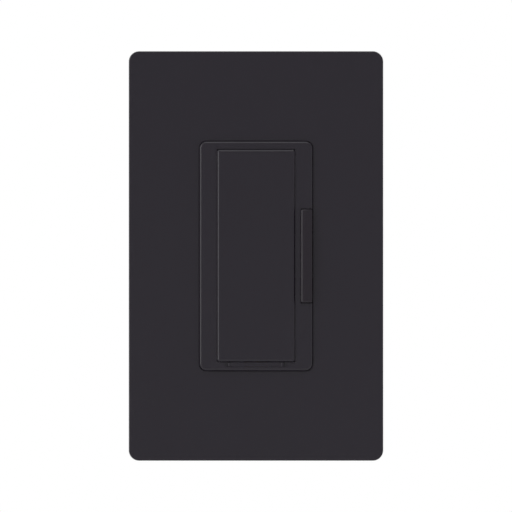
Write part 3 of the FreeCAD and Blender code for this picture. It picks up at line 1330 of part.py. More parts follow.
def add_terminal_block(body, side, height):
    """A solid block with a side pocket, a wire entry from the back and room for the strip and screw."""
    wide, back = s.housing_half_width, s.housing_depth
    block_ends = in_order(s.block_inner * side, (wide - s.block_inset) * side)
    pocket_ends = in_order(s.pocket_inner * side, wide * side)
    pad(body, "Y", s.block_front, back - s.block_inset,
        rectangle(*block_ends, height - s.block_half, height + s.block_half))
    pocket = rectangle(s.pocket_front, s.pocket_back, height - s.pocket_half, height + s.pocket_half)
    cut(body, "X", *pocket_ends, pocket)
    cut(body, "Y", s.pocket_back, back, disc(side * s.wire_hole_side, height, s.wire_hole_radius))
    leg_ends = in_order(s.pocket_inner * side, (s.pocket_inner + s.terminal_strip) * side)
    leg_half = s.terminal_leg_half + s.strip_margin
    cut(body, "Y", s.block_front, s.pocket_front, rectangle(*leg_ends, height - leg_half, height + leg_half))
    screw_ends = in_order((s.block_inner + s.block_inset) * side, s.pocket_inner * side)
    cut(body, "X", *screw_ends, disc(s.terminal_depth, height, s.terminal_screw_radius + s.screw_room))


def make_terminal(name, side, height):
    """Strip, clamp plate and screw of one terminal."""
    strip = new_body(f"{name}_terminal_strip")
    ends = in_order((s.pocket_inner + s.touch_gap) * side, (s.pocket_inner + s.terminal_strip) * side)
    hole = disc(s.terminal_depth, height, s.terminal_screw_radius + s.screw_hole_clear)
    margin = s.strip_margin
    half = s.pocket_half - margin
    pad(strip, "X", *ends, rectangle(s.pocket_front + margin, s.pocket_back - margin, height - half, height + half))
    pad(strip, "X", *ends, rectangle(power_back, s.pocket_front + margin * 2,
                                     height - s.terminal_leg_half, height + s.terminal_leg_half))
    cut(strip, "X", *ends, hole)

    head_seat = s.clamp_front + s.clamp_thickness
    clamp = new_body(f"{name}_clamp_plate")
    ends = in_order(s.clamp_front * side, head_seat * side)
    half = s.pocket_half - s.clamp_margin
    pad(clamp, "X", *ends, centred(s.terminal_depth, height, half, half))
    cut(clamp, "X", *ends, hole)
    fillet(clamp, s.clamp_corner, lambda edge: edge.BoundBox.XLength > ROUGH and not is_circle(edge)
           and edge.BoundBox.ZLength < FLAT and edge.BoundBox.YLength < FLAT
           and near(abs(edge.BoundBox.ZMin - height.value), half))

    screw = slotted_screw(f"{name}_terminal_screw", s.terminal_head, s.housing_half_width - head_seat,
                          s.terminal_screw_radius, head_seat - s.terminal_screw_end)
    move_to(screw, head_seat * side, s.terminal_depth, height, turn_about_z=90 * side)


def make_back_cover_screws():
    screws = []
    for side in (-1, 1):
        for end in (-1, 1):
            screw = countersunk_screw(f"back_cover_screw_{side}_{end}", yoke_front + s.touch_gap,
                                      s.cover_screw_head, s.cover_screw_sink, s.cover_screw_radius,
                                      s.cover_screw_end)
            screws.append(move_to(screw, s.boss_side * side, 0, s.boss_height * end))
    grouped("back_cover_screws", screws)


# ---------------------------------------------------------------- the whole switch

def make_everything():
    make_wall_plate_cover()
    make_wall_plate_adapter()
    make_adapter_screws()
    make_mounting_yoke()
    make_device_screws()
    make_screw_retainers()
    make_ground_screw()
    make_bezel_frame()
    make_tap_paddle()
    make_dimming_rocker()
    make_service_switch_tab()
    make_tact_switch("tap", "tap", 0, s.tap_switch_height)
    make_tact_switch("raise", "dim", s.dim_switch_side, s.dim_switch_height)
    make_tact_switch("lower", "dim", s.dim_switch_side, -s.dim_switch_height)
    make_service_contacts()
    make_boards()
    make_insulator_sheet()
    make_microcontroller()
    make_triac()
    make_choke()
    make_power_parts()
    make_back_cover()
    for name, side, end in TERMINALS:
        make_terminal(name, side, s.terminal_height * end)
    make_back_cover_screws()


def check_document():
    doc.recompute()
    failed = [item.Label for item in doc.Objects if "Invalid" in item.State or "Error" in item.State]
    if failed:
        raise RuntimeError(f"failed objects: {failed}")
    for node in nodes:
        shape = node.Shape
        if shape.isNull() or not shape.isValid() or not shape.Solids:
            raise RuntimeError(f"bad shape: {node.Label}")


def write_parts():
    os.makedirs("parts", exist_ok=True)
    for node in nodes:
        node.Shape.exportStep(os.path.join("parts", f"{node.Label}.step"))
        box = node.Shape.BoundBox
        print(f"{node.Label:26s} solids {len(node.Shape.Solids):2d} volume {node.Shape.Volume:9.1f}"
              f"  x {box.XMin:6.2f} {box.XMax:6.2f}  y {box.YMin:6.2f} {box.YMax:6.2f}"
              f"  z {box.ZMin:6.2f} {box.ZMax:6.2f}")
    print(len(nodes), "nodes")


make_everything()
check_document()
write_parts()
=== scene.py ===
import bmesh
import bpy
import json
import math
from mathutils import Matrix, Vector


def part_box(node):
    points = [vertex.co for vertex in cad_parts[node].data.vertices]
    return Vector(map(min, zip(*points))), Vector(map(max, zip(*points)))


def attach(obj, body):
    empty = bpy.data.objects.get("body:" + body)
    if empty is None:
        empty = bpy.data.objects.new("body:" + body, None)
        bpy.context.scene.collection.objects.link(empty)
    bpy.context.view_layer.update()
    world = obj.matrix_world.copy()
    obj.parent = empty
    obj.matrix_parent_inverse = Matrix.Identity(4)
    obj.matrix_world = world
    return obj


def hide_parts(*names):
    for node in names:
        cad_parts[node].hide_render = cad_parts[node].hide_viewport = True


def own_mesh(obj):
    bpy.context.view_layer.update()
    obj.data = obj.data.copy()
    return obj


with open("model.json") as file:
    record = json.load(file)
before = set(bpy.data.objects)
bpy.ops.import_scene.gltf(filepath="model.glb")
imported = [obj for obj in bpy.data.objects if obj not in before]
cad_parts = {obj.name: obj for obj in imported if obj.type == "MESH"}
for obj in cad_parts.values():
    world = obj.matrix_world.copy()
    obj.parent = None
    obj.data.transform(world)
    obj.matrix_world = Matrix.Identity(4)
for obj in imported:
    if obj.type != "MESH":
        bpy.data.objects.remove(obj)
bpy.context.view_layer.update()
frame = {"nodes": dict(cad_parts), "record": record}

MM = 0.001
nodes = frame["nodes"]


# ---------------------------------------------------------------- camera and lights

VIEW_WIDTH = 148.92 * MM      # width of the square that the camera sees
CAMERA_DISTANCE = 1.2         # metres in front of the wall
RING_SHARPNESS = 2.0          # how closely the tent's bright ring keeps to the object's plane
LIGHT_SOFTNESS = 40           # degrees across each light


def make_camera():
    """Looks straight at the front, centred on the plate and without perspective."""
    data = bpy.data.cameras.new("camera")
    data.type = "ORTHO"
    data.ortho_scale = VIEW_WIDTH
    camera = bpy.data.objects.new("camera", data)
    low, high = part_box("wall_plate_cover")
    middle = (low + high) / 2
    camera.location = (middle.x, -CAMERA_DISTANCE, middle.z)
    camera.rotation_euler = (math.pi / 2, 0, 0)
    bpy.context.scene.collection.objects.link(camera)
    bpy.context.scene.camera = camera


def make_sun(name, towards, strength):
    """A soft distant light that shines along the vector towards."""
    data = bpy.data.lights.new(name, "SUN")
    data.energy = strength
    data.angle = math.radians(LIGHT_SOFTNESS)
    light = bpy.data.objects.new(name, data)
    light.rotation_mode = "QUATERNION"
    light.rotation_quaternion = Vector(towards).to_track_quat("-Z", "Y")
    bpy.context.scene.collection.objects.link(light)


def make_world(seen, front, sides):
    """Plain white background; the object is lit by a tent, brighter at its sides and above than in front."""
    world = bpy.data.worlds.new("studio")
    bpy.context.scene.world = world
    world.use_nodes = True
    tree = world.node_tree
    tree.nodes.clear()

    def calculate(operation, *values):
        node = tree.nodes.new("ShaderNodeMath")
        node.operation = operation
        for index, value in enumerate(values):
            if isinstance(value, (int, float)):
                node.inputs[index].default_value = value
            else:
                tree.links.new(value, node.inputs[index])
        return node.outputs[0]

    split = tree.nodes.new("ShaderNodeSeparateXYZ")
    tree.links.new(tree.nodes.new("ShaderNodeTexCoord").outputs["Generated"], split.inputs[0])
    across, ahead, above = split.outputs
    off_axis = calculate("SUBTRACT", 1.0, calculate("MULTIPLY", ahead, ahead))
    ring = calculate("POWER", off_axis, RING_SHARPNESS)
    beside = calculate("ADD", calculate("ABSOLUTE", across), calculate("MAXIMUM", above, 0.0))
    level = calculate("MULTIPLY_ADD", calculate("MULTIPLY", ring, beside), sides, front)

    output = tree.nodes.new("ShaderNodeOutputWorld")
    mix = tree.nodes.new("ShaderNodeMixShader")
    path = tree.nodes.new("ShaderNodeLightPath")
    tent = tree.nodes.new("ShaderNodeBackground")
    tree.links.new(level, tent.inputs["Strength"])
    backdrop = tree.nodes.new("ShaderNodeBackground")
    backdrop.inputs["Strength"].default_value = seen
    for shade in (tent, backdrop):
        shade.inputs["Color"].default_value = (1, 1, 1, 1)
    tree.links.new(path.outputs["Is Camera Ray"], mix.inputs[0])
    tree.links.new(tent.outputs[0], mix.inputs[1])
    tree.links.new(backdrop.outputs[0], mix.inputs[2])
    tree.links.new(mix.outputs[0], output.inputs["Surface"])


make_camera()
make_world(seen=1.0, front=0.25, sides=0.5)
make_sun("key_left", (0.71, 0.71, -0.05), 1.25)
make_sun("key_top", (0.05, 0.71, -0.71), 0.58)
make_sun("back_right", (-0.60, -0.70, -0.40), 1.0)
make_sun("back_left", (0.70, -0.60, -0.30), 0.6)
bpy.context.scene.view_settings.view_transform = "Standard"


# ---------------------------------------------------------------- materials

CHARCOAL = (0.0086, 0.0056, 0.0122)
# The rocker bar's colour is a darker copy of the charcoal: painted shade for its face that slopes away from
# the light.
ROCKER_SHADED_CHARCOAL = (0.0066, 0.0026, 0.0082)
TINNED = (0.60, 0.60, 0.58)
TINNED_PAD = (0.62, 0.62, 0.60)
TINNED_TAB = (0.58, 0.58, 0.57)


class Recipe:
    """A Principled material under construction, textured in the object's own coordinates."""

    def __init__(self, name, metallic=0.0, coat=0.0, specular=0.5):
        self.material = bpy.data.materials.new(name)
        self.material.use_nodes = True
        self.tree = self.material.node_tree
        self.shader = self.tree.nodes["Principled BSDF"]
        self.shader.inputs["Metallic"].default_value = metallic
        self.shader.inputs["Coat Weight"].default_value = coat
        self.shader.inputs["Specular IOR Level"].default_value = specular
        self.coordinates = self.tree.nodes.new("ShaderNodeTexCoord").outputs["Object"]

    def link(self, source, target):
        self.tree.links.new(source, target)

    def stretched(self, stretch):
        """Coordinates scaled unevenly, so that a texture is drawn out along an axis."""
        if stretch == (1, 1, 1):
            return self.coordinates
        mapping = self.tree.nodes.new("ShaderNodeMapping")
        mapping.inputs["Scale"].default_value = stretch
        self.link(self.coordinates, mapping.inputs["Vector"])
        return mapping.outputs["Vector"]

    def noise(self, size_mm, detail=2.0, stretch=(1, 1, 1), distortion=0.0):
        texture = self.tree.nodes.new("ShaderNodeTexNoise")
        texture.inputs["Scale"].default_value = 1 / (size_mm * MM)
        texture.inputs["Detail"].default_value = detail
        texture.inputs["Distortion"].default_value = distortion
        self.link(self.stretched(stretch), texture.inputs["Vector"])
        return texture.outputs["Fac"]

    def spots(self, size_mm, stretch=(1, 1, 1)):
        """Distance to the nearest of many scattered points."""
        texture = self.tree.nodes.new("ShaderNodeTexVoronoi")
        texture.inputs["Scale"].default_value = 1 / (size_mm * MM)
        self.link(self.stretched(stretch), texture.inputs["Vector"])
        return texture.outputs["Distance"]

    def along(self, axis):
        """The coordinate along an axis, in metres."""
        split = self.tree.nodes.new("ShaderNodeSeparateXYZ")
        self.link(self.coordinates, split.inputs[0])
        return split.outputs[axis]

    def math(self, operation, one, other=None):
        node = self.tree.nodes.new("ShaderNodeMath")
        node.operation = operation
        for index, value in enumerate((one, other)):
            if value is None:
                continue
            if isinstance(value, (int, float)):
                node.inputs[index].default_value = value
            else:
                self.link(value, node.inputs[index])
        return node.outputs[0]

    def within(self, value, low, high):
        """1 where low < value < high, otherwise 0."""
        above = self.math("GREATER_THAN", value, low)
        below = self.math("LESS_THAN", value, high)
        return self.math("MULTIPLY", above, below)

    def remap(self, source, low, high, start=0.0, end=1.0):
        node = self.tree.nodes.new("ShaderNodeMapRange")
        node.inputs["From Min"].default_value = start
        node.inputs["From Max"].default_value = end
        node.inputs["To Min"].default_value = low
        node.inputs["To Max"].default_value = high
        self.link(source, node.inputs["Value"])
        return node.outputs["Result"]

    def blend(self, factor, one, other):
        """A colour between two, each a tuple or a socket."""
        node = self.tree.nodes.new("ShaderNodeMix")
        node.data_type = "RGBA"
        self.link(factor, node.inputs["Factor"])
        for name, colour in (("A", one), ("B", other)):
            if isinstance(colour, tuple):
                node.inputs[name].default_value = (*colour, 1)
            else:
                self.link(colour, node.inputs[name])
        return node.outputs["Result"]

    def colour(self, source):
        self.link(source, self.shader.inputs["Base Color"])

    def roughness(self, source, middle, spread):
        """Roughness that a 0 to 1 source moves about its middle value."""
        self.link(self.remap(source, middle - spread, middle + spread), self.shader.inputs["Roughness"])

    def bump(self, source, depth_mm, strength=0.6):
        """Relief from a 0 to 1 source, on top of any relief that is there already."""
        node = self.tree.nodes.new("ShaderNodeBump")
        node.inputs["Strength"].default_value = strength
        node.inputs["Distance"].default_value = depth_mm * MM
        self.link(source, node.inputs["Height"])
        below = self.shader.inputs["Normal"]
        if below.is_linked:
            self.link(below.links[0].from_socket, node.inputs["Normal"])
        self.link(node.outputs["Normal"], below)


def shade(colour, factor):
    """A colour made lighter or darker."""
    return tuple(channel * factor for channel in colour)


def moulded(name, colour, roughness, grain=0.22, depth=0.010):
    """Injection-moulded plastic: a fine spark-eroded grain over faint flow variation."""
    made = Recipe(name)
    fine = made.noise(grain, detail=3)
    flow = made.noise(16, detail=2, distortion=0.6)
    made.colour(made.blend(flow, shade(colour, 0.97), shade(colour, 1.03)))
    made.roughness(fine, roughness, 0.05)
    made.bump(fine, depth)
    return made.material


def metal(name, colour, roughness, stretch=(1, 1, 1), depth=0.004, dull=0.75, grain=0.35):
    """Plated or rolled metal: fine directional marks, duller patches and small scratches."""
    made = Recipe(name, metallic=1.0)
    marks = made.noise(grain, detail=4, stretch=stretch)
    patches = made.noise(5, detail=3)
    made.colour(made.blend(made.remap(patches, 0, 1, 0.35, 0.75), colour, shade(colour, dull)))
    mostly_marks = made.math("ADD", made.math("MULTIPLY", marks, 0.6), made.math("MULTIPLY", patches, 0.4))
    made.roughness(mostly_marks, roughness, 0.10)
    made.bump(marks, depth)
    return made.material


def dyed_steel(name, colour, bare=(0.50, 0.50, 0.52)):
    """Coloured plating, thin where the driver and the handling have rubbed it."""
    made = Recipe(name, metallic=0.85)
    rubbed = made.remap(made.noise(0.6, detail=5), 0, 1, 0.62, 0.74)
    tone = made.blend(made.noise(2.5), colour, shade(colour, 0.7))
    made.colour(made.blend(rubbed, tone, bare))
    fine = made.noise(0.2, detail=4)
    made.roughness(fine, 0.38, 0.10)
    made.bump(fine, 0.004)
    return made.material


def fibre_sheet(name, colour):
    """Pressed fibre: short random strands and soft mottling."""
    made = Recipe(name, specular=0.3)
    strands = made.noise(0.35, detail=6, stretch=(1, 1, 0.25), distortion=1.5)
    mottling = made.noise(2.2, detail=3)
    mottled = made.blend(mottling, shade(colour, 0.9), shade(colour, 1.2))
    made.colour(made.blend(strands, shade(colour, 0.75), mottled))
    made.roughness(strands, 0.80, 0.08)
    made.bump(strands, 0.03)
    return made.material


def circuit_board(name, mask, track):
    """Solder mask over copper tracks, with scattered tinned pads."""
    made = Recipe(name, specular=0.5)
    runs = made.remap(made.spots(2.4, stretch=(1, 0.05, 0.22)), 1, 0, 0.16, 0.22)
    crossings = made.remap(made.spots(3.1, stretch=(0.22, 0.05, 1)), 1, 0, 0.14, 0.20)
    copper = made.math("MAXIMUM", runs, crossings)
    pads = made.remap(made.spots(1.9, stretch=(1, 0.05, 1)), 1, 0, 0.12, 0.16)
    masked = made.blend(copper, mask, track)
    made.colour(made.blend(pads, masked, TINNED_PAD))
    made.link(made.math("MULTIPLY", pads, 0.9), made.shader.inputs["Metallic"])
    weave = made.noise(0.3, detail=2, stretch=(1, 1, 0.2))
    made.roughness(weave, 0.32, 0.06)
    made.bump(copper, 0.035)
    made.bump(pads, 0.05)
    return made.material


def toroid_powder(name, colour):
    """Pressed iron powder core with a sprayed coating."""
    made = Recipe(name)
    spray = made.noise(0.28, detail=5)
    made.colour(made.blend(made.remap(spray, 0, 1, 0.3, 0.7), shade(colour, 0.8), shade(colour, 1.15)))
    made.roughness(spray, 0.55, 0.12)
    made.bump(spray, 0.03)
    return made.material


def enamelled_wire(name, colour):
    made = Recipe(name, metallic=1.0, coat=0.7)
    enamel = made.noise(0.8, detail=3)
    made.colour(made.blend(enamel, shade(colour, 0.75), shade(colour, 1.1)))
    made.roughness(enamel, 0.28, 0.06)
    made.bump(made.noise(0.15, detail=2), 0.004)
    return made.material


def glossy_case(name, colour, orange_peel=0.8, depth=0.015, roughness=0.22):
    """Dipped, potted or shrunk-on skin: gloss with a slow orange-peel ripple."""
    made = Recipe(name, coat=0.4)
    ripple = made.noise(orange_peel, detail=2, distortion=0.5)
    dust = made.noise(0.12, detail=3)
    made.colour(made.blend(ripple, shade(colour, 0.9), shade(colour, 1.1)))
    made.roughness(dust, roughness, 0.06)
    made.bump(ripple, depth)
    return made


def banded(made, axis, bands):
    """Paint rings of (start mm, end mm, colour) across a finished recipe."""
    position = made.along(axis)
    base = made.shader.inputs["Base Color"]
    for start, end, colour in bands:
        below = base.links[0].from_socket
        made.colour(made.blend(made.within(position, start * MM, end * MM), below, colour))
    return made.material


def centre_x(node):
    """Middle of a node across the object, in millimetres."""
    low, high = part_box(node)
    return (low.x + high.x) / 2 / MM


def can_material():
    """Shrunk-on sleeve, with the bare aluminium end of the can showing."""
    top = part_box("electrolytic_capacitor")[1].y / MM
    end_depth = 0.35
    aluminium = (0.55, 0.56, 0.57)
    sleeve = glossy_case("sleeve_black", (0.012, 0.016, 0.035))
    return banded(sleeve, "Y", [(top - end_depth, top + 1, aluminium)])


def resistor_material():
    """Lacquered body with four colour rings, and tinned leads."""
    middle = centre_x("power_resistor")
    red, violet, brown, gold = (0.30, 0.02, 0.01), (0.02, 0.01, 0.25), (0.25, 0.09, 0.02), (0.55, 0.38, 0.10)
    body = glossy_case("resistor_tan", (0.50, 0.38, 0.22), orange_peel=0.5, roughness=0.4)
    rings = [(-2.9, -2.3, red), (-1.7, -1.1, violet), (-0.5, 0.1, brown), (2.2, 2.8, gold)]
    leads = [(-9, -4.3, TINNED), (4.3, 9, TINNED)]
    return banded(body, "X", [(middle + a, middle + b, colour) for a, b, colour in rings + leads])


def diode_material():
    """Black body with the grey ring of its cathode end, and tinned leads."""
    middle = centre_x("rectifier_diode")
    grey = (0.50, 0.50, 0.50)
    body = glossy_case("diode_black", (0.012, 0.012, 0.013), orange_peel=0.4)
    bands = [(1.1, 1.8, grey), (-9, -2.45, TINNED), (2.45, 9, TINNED)]
    return banded(body, "X", [(middle + a, middle + b, colour) for a, b, colour in bands])


def triac_material():
    """Black epoxy case; the tab above it and the legs below it are tinned metal."""
    made = Recipe("triac_epoxy")
    height = made.along("Z")
    case_low, case_high = 8.0 * MM, 17.0 * MM
    bare = made.math("SUBTRACT", 1.0, made.within(height, case_low, case_high))
    fine = made.noise(0.18, detail=4)
    epoxy = made.blend(fine, (0.014, 0.014, 0.015), (0.022, 0.022, 0.024))
    made.colour(made.blend(bare, epoxy, TINNED_TAB))
    made.link(bare, made.shader.inputs["Metallic"])
    made.roughness(fine, 0.45, 0.10)
    made.bump(fine, 0.012)
    return made.material


def chip_material():
    """Black epoxy with tinned ends or pins, which are the part of it that is furthest forward."""
    made = Recipe("chip_black")
    fine = made.noise(0.10, detail=4)
    pin_depth = 0.14 * MM
    pins = made.math("LESS_THAN", made.along("Y"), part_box("chip_parts")[0].y + pin_depth)
    epoxy = made.blend(fine, (0.012, 0.012, 0.013), (0.022, 0.022, 0.024))
    made.colour(made.blend(pins, epoxy, TINNED))
    made.roughness(fine, 0.50, 0.10)
    made.bump(fine, 0.008)
    return made.material


SLOTS = {
    "charcoal_plastic": moulded("charcoal_plastic", CHARCOAL, 0.32),
    "adapter_plastic": moulded("adapter_plastic", (0.034, 0.034, 0.037), 0.52, grain=0.4, depth=0.02),
    "housing_plastic": moulded("housing_plastic", (0.0125, 0.0125, 0.0140), 0.40, grain=0.5, depth=0.02),
    "yoke_aluminium": metal("yoke_aluminium", (0.60, 0.61, 0.63), 0.36, stretch=(1, 1, 0.06)),
    "zinc_steel": metal("zinc_steel", (0.56, 0.57, 0.60), 0.30, dull=0.65, grain=0.25),
    "brass": metal("brass", (0.66, 0.47, 0.20), 0.30, stretch=(1, 1, 0.15), dull=0.7),
    "black_steel": dyed_steel("black_steel", (0.020, 0.020, 0.022), bare=(0.11, 0.11, 0.12)),
    "blue_steel": dyed_steel("blue_steel", (0.03, 0.09, 0.34)),
    "green_steel": dyed_steel("green_steel", (0.03, 0.22, 0.06)),
    "silver_contact": metal("silver_contact", (0.72, 0.71, 0.69), 0.34, dull=0.55),
    "spring_steel": metal("spring_steel", (0.55, 0.55, 0.54), 0.26, stretch=(0.15, 1, 1)),
    "fibre": fibre_sheet("fibre", (0.34, 0.25, 0.17)),
    "board_green": circuit_board("board_green", (0.010, 0.085, 0.030), (0.028, 0.17, 0.055)),
    "chip_black": chip_material(),
    "switch_black": moulded("switch_black", (0.016, 0.016, 0.018), 0.42, grain=0.15, depth=0.006),
    "plunger_brown": moulded("plunger_brown", (0.21, 0.095, 0.038), 0.40, grain=0.15, depth=0.006),
    "insulator_grey": moulded("insulator_grey", (0.27, 0.29, 0.33), 0.72, grain=0.3, depth=0.015),
    "ferrite": toroid_powder("ferrite", (0.48, 0.40, 0.07)),
    "copper": enamelled_wire("copper", (0.55, 0.20, 0.07)),
    "film_yellow": glossy_case("film_yellow", (0.58, 0.42, 0.05), orange_peel=2.0, roughness=0.3).material,
    "sleeve_black": can_material(),
    "varistor_blue": glossy_case("varistor_blue", (0.025, 0.085, 0.32), depth=0.03).material,
    "resistor_tan": resistor_material(),
    "diode_black": diode_material(),
}


def paint(node, material):
    mesh = nodes[node].data
    mesh.materials.clear()
    mesh.materials.append(material)


def paint_nodes():
    """Every node gets its slot's material, and two get one of their own: the triac's shows its tinned metal,
    and the rocker's is a darker copy of the charcoal, painted shade for its face that slopes away from the
    light.
    """
    for part in frame["record"]["subparts"]:
        paint(part["node"], SLOTS[part["material_slot"]])
    paint("triac", triac_material())
    # Painted shade: the rocker gets the darker charcoal in place of the shading of its sloping face.
    paint("dimming_rocker", moulded("rocker_plastic_painted_shade", ROCKER_SHADED_CHARCOAL, 0.32))


paint_nodes()


# ---------------------------------------------------------------- threaded screws

THREAD_STEPS = 32           # points round a thread
THREAD_ROWS = 8             # rows of points for one turn
THREAD_DEPTH = 0.61         # depth of a thread, as a share of its pitch
RUN_OUT = 0.8               # turns over which a thread fades in below the head
HEAD_STEPS = 48             # points round a head
SLIVER = 0.001 * MM         # edges shorter than this are not kept
CREASE_ANGLE = 35           # degrees above which an edge is drawn sharp
COARSE_PITCH = 0.794 * MM   # pitch of the 6-32 and 8-32 threads


def add_ring(mesh, radius, y, steps):
    """Points of a circle round the Y axis."""
    return [mesh.verts.new((radius * math.cos(turn), y, radius * math.sin(turn)))
            for turn in (2 * math.pi * step / steps for step in range(steps))]


def join_rings(mesh, one, other):
    steps = len(one)
    for index in range(steps):
        after = (index + 1) % steps
        mesh.faces.new((one[index], one[after], other[after], other[index]))


def thread_radius(y, turn, start, end, crest, pitch, tip):
    """Radius of a 60 degree thread, which runs out at the start and over the tip."""
    phase = (y / pitch - turn / (2 * math.pi)) % 1.0
    ridge = 1 - abs(2 * phase - 1)
    flat = min(1.0, max(0.0, ridge * 1.35 - 0.15))      # cut off, so that crest and root are flat
    depth = THREAD_DEPTH * pitch
    fade_in = min(1.0, (y - start) / (RUN_OUT * pitch))
    radius = crest - depth * (1 - flat) * max(0.0, fade_in)
    into_tip = max(0.0, (y - (end - tip)) / tip)
    return radius - (radius - 0.6 * (crest - depth)) * into_tip


def lathe_head(mesh, profile):
    """Revolve (radius, y) points about Y and close both ends over."""
    rings = [add_ring(mesh, radius, y, HEAD_STEPS) for radius, y in profile]
    for one, other in zip(rings, rings[1:]):
        join_rings(mesh, one, other)
    mesh.faces.new(rings[0])
    mesh.faces.new(reversed(rings[-1]))


def thread_shank(mesh, start, end, crest, pitch, tip):
    """A closed threaded rod along Y, from start to end, with a cone of length tip at its end."""
    rows = max(8, int(round((end - start) / pitch * THREAD_ROWS)))
    rings = []
    for row in range(rows + 1):
        y = start + (end - start) * row / rows
        ring = []
        for step in range(THREAD_STEPS):
            turn = 2 * math.pi * step / THREAD_STEPS
            radius = thread_radius(y, turn, start, end, crest, pitch, tip)
            ring.append(mesh.verts.new((radius * math.cos(turn), y, radius * math.sin(turn))))
        rings.append(ring)
    for one, other in zip(rings, rings[1:]):
        join_rings(mesh, one, other)
    mesh.faces.new(rings[0])
    mesh.faces.new(reversed(rings[-1]))


def drive_cutter(spans, depth, front):
    """Driver slots: a (half length, half width) for each, and the second is turned a quarter."""
    mesh = bpy.data.meshes.new("cutter")
    build = bmesh.new()
    for index, (half_length, half_width) in enumerate(spans):
        box = bmesh.ops.create_cube(build, size=1)["verts"]
        bmesh.ops.scale(build, vec=(2 * half_length, 2 * depth, 2 * half_width), verts=box)
        bmesh.ops.rotate(build, matrix=Matrix.Rotation(math.pi / 2 * index, 3, "Y"), verts=box)
        bmesh.ops.translate(build, vec=(0, front, 0), verts=box)
    build.to_mesh(mesh)
    build.free()
    return bpy.data.objects.new("cutter", mesh)


def settled(obj):
    """Replace an object's mesh by what its modifiers make of it."""
    bpy.context.view_layer.update()
    graph = bpy.context.evaluated_depsgraph_get()
    mesh = bpy.data.meshes.new_from_object(obj.evaluated_get(graph))
    obj.modifiers.clear()
    obj.data = mesh
    return obj


def tidy_faces(build):
    """Join points that lie on each other and leave out faces that have no area."""
    bmesh.ops.remove_doubles(build, verts=build.verts, dist=SLIVER)
    bmesh.ops.dissolve_degenerate(build, dist=SLIVER, edges=build.edges)
    bmesh.ops.triangulate(build, faces=[face for face in build.faces if len(face.verts) > 4])


def smooth(mesh):
    mesh.shade_smooth()
    mesh.set_sharp_from_angle(angle=math.radians(CREASE_ANGLE))


def one_screw(name, head_profile, head_front, slots, slot_depth, shank):
    """A screw on the Y axis: revolved head with driver slots, and a threaded shank."""
    head = bmesh.new()
    lathe_head(head, head_profile)
    mesh = bpy.data.meshes.new(name)
    head.normal_update()
    bmesh.ops.recalc_face_normals(head, faces=head.faces)
    head.to_mesh(mesh)
    head.free()
    screw = bpy.data.objects.new(name, mesh)
    bpy.context.scene.collection.objects.link(screw)
    cutter = drive_cutter(slots, slot_depth, head_front)
    bpy.context.scene.collection.objects.link(cutter)
    cutter_step = screw.modifiers.new("slots", "BOOLEAN")
    cutter_step.operation = "DIFFERENCE"
    cutter_step.use_self = True
    cutter_step.object = cutter
    rounding = screw.modifiers.new("rounding", "BEVEL")
    rounding.width = 0.08 * MM
    rounding.segments = 2
    rounding.limit_method = "ANGLE"
    rounding.angle_limit = math.radians(40)
    settled(screw)
    bpy.data.objects.remove(cutter)
    build = bmesh.new()
    build.from_mesh(screw.data)
    tidy_faces(build)
    thread_shank(build, *shank)
    build.to_mesh(screw.data)
    build.free()
    smooth(screw.data)
    return screw


def placed_copies(name, screw, matrices):
    """One object that holds a copy of the screw at each matrix."""
    build = bmesh.new()
    for matrix in matrices:
        copy = screw.data.copy()
        copy.transform(matrix)
        build.from_mesh(copy)
        bpy.data.meshes.remove(copy)
    mesh = bpy.data.meshes.new(name)
    build.to_mesh(mesh)
    build.free()
    smooth(mesh)
    group = bpy.data.objects.new(name, mesh)
    bpy.context.scene.collection.objects.link(group)
    bpy.data.objects.remove(screw)
    return group


def install(piece, body, slot, *replaced):
    """Paint a finished piece, put it on its body and let it stand for the nodes it replaces."""
    piece.data.materials.clear()
    piece.data.materials.append(SLOTS[slot])
    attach(piece, body)
    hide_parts(*replaced)


def scaled(profile):
    return [(radius * MM, y * MM) for radius, y in profile]


def at(x=0, y=0, z=0, turn=0):
    """A place for a screw, turned about Z by so many degrees."""
    return Matrix.Translation(Vector((x, y, z))) @ Matrix.Rotation(math.radians(turn), 4, "Z")


def end_centres(node):
    """Heights of the upper and lower piece of a mirrored pair in one node."""
    mesh = nodes[node].data
    highs = [v.co.z for v in mesh.vertices if v.co.z > 0]
    lows = [v.co.z for v in mesh.vertices if v.co.z < 0]
    return (max(highs) + min(highs)) / 2, (max(lows) + min(lows)) / 2


def make_device_screws():
    """Box screws: oval heads with a long slot and a cross, a plain neck and a thread."""
    low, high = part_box("device_screws")
    front, radius = low.y, high.x
    profile = [(radius * 0.02, front), (radius * 0.62, front), (radius * 0.75, front + 0.02 * MM),
               (radius * 0.90, front + 0.30 * MM), (radius, front + 0.80 * MM), (radius, front + 2.00 * MM),
               (1.5 * MM, front + 2.00 * MM), (1.5 * MM, front + 4.05 * MM)]
    shank = (front + 4.05 * MM, high.y, 1.75 * MM, COARSE_PITCH, 1.05 * MM)
    screw = one_screw("device_screw", profile, front, [(radius * 1.2, 0.5 * MM), (2.0 * MM, 0.42 * MM)],
                      0.9 * MM, shank)
    group = placed_copies("device_screws_threaded", screw, [at(z=z) for z in end_centres("device_screws")])
    install(group, "chassis", "zinc_steel", "device_screws")


def make_adapter_screws():
    """Plate screws: flat countersunk heads with a cross."""
    low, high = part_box("adapter_screws")
    front, radius = low.y, high.x
    profile = [(radius * 0.02, front), (radius * 0.97, front), (radius, front + 0.06 * MM),
               (1.7 * MM, front + 1.2 * MM), (1.7 * MM, front + 1.5 * MM)]
    shank = (front + 1.5 * MM, high.y, 1.7 * MM, COARSE_PITCH, 1.0 * MM)
    cross = [(1.75 * MM, 0.4 * MM)] * 2
    screw = one_screw("adapter_screw", profile, front, cross, 0.9 * MM, shank)
    spots = [at(z=z) for z in end_centres("adapter_screws")]
    group = placed_copies("adapter_screws_threaded", screw, spots)
    install(group, "chassis", "zinc_steel", "adapter_screws")


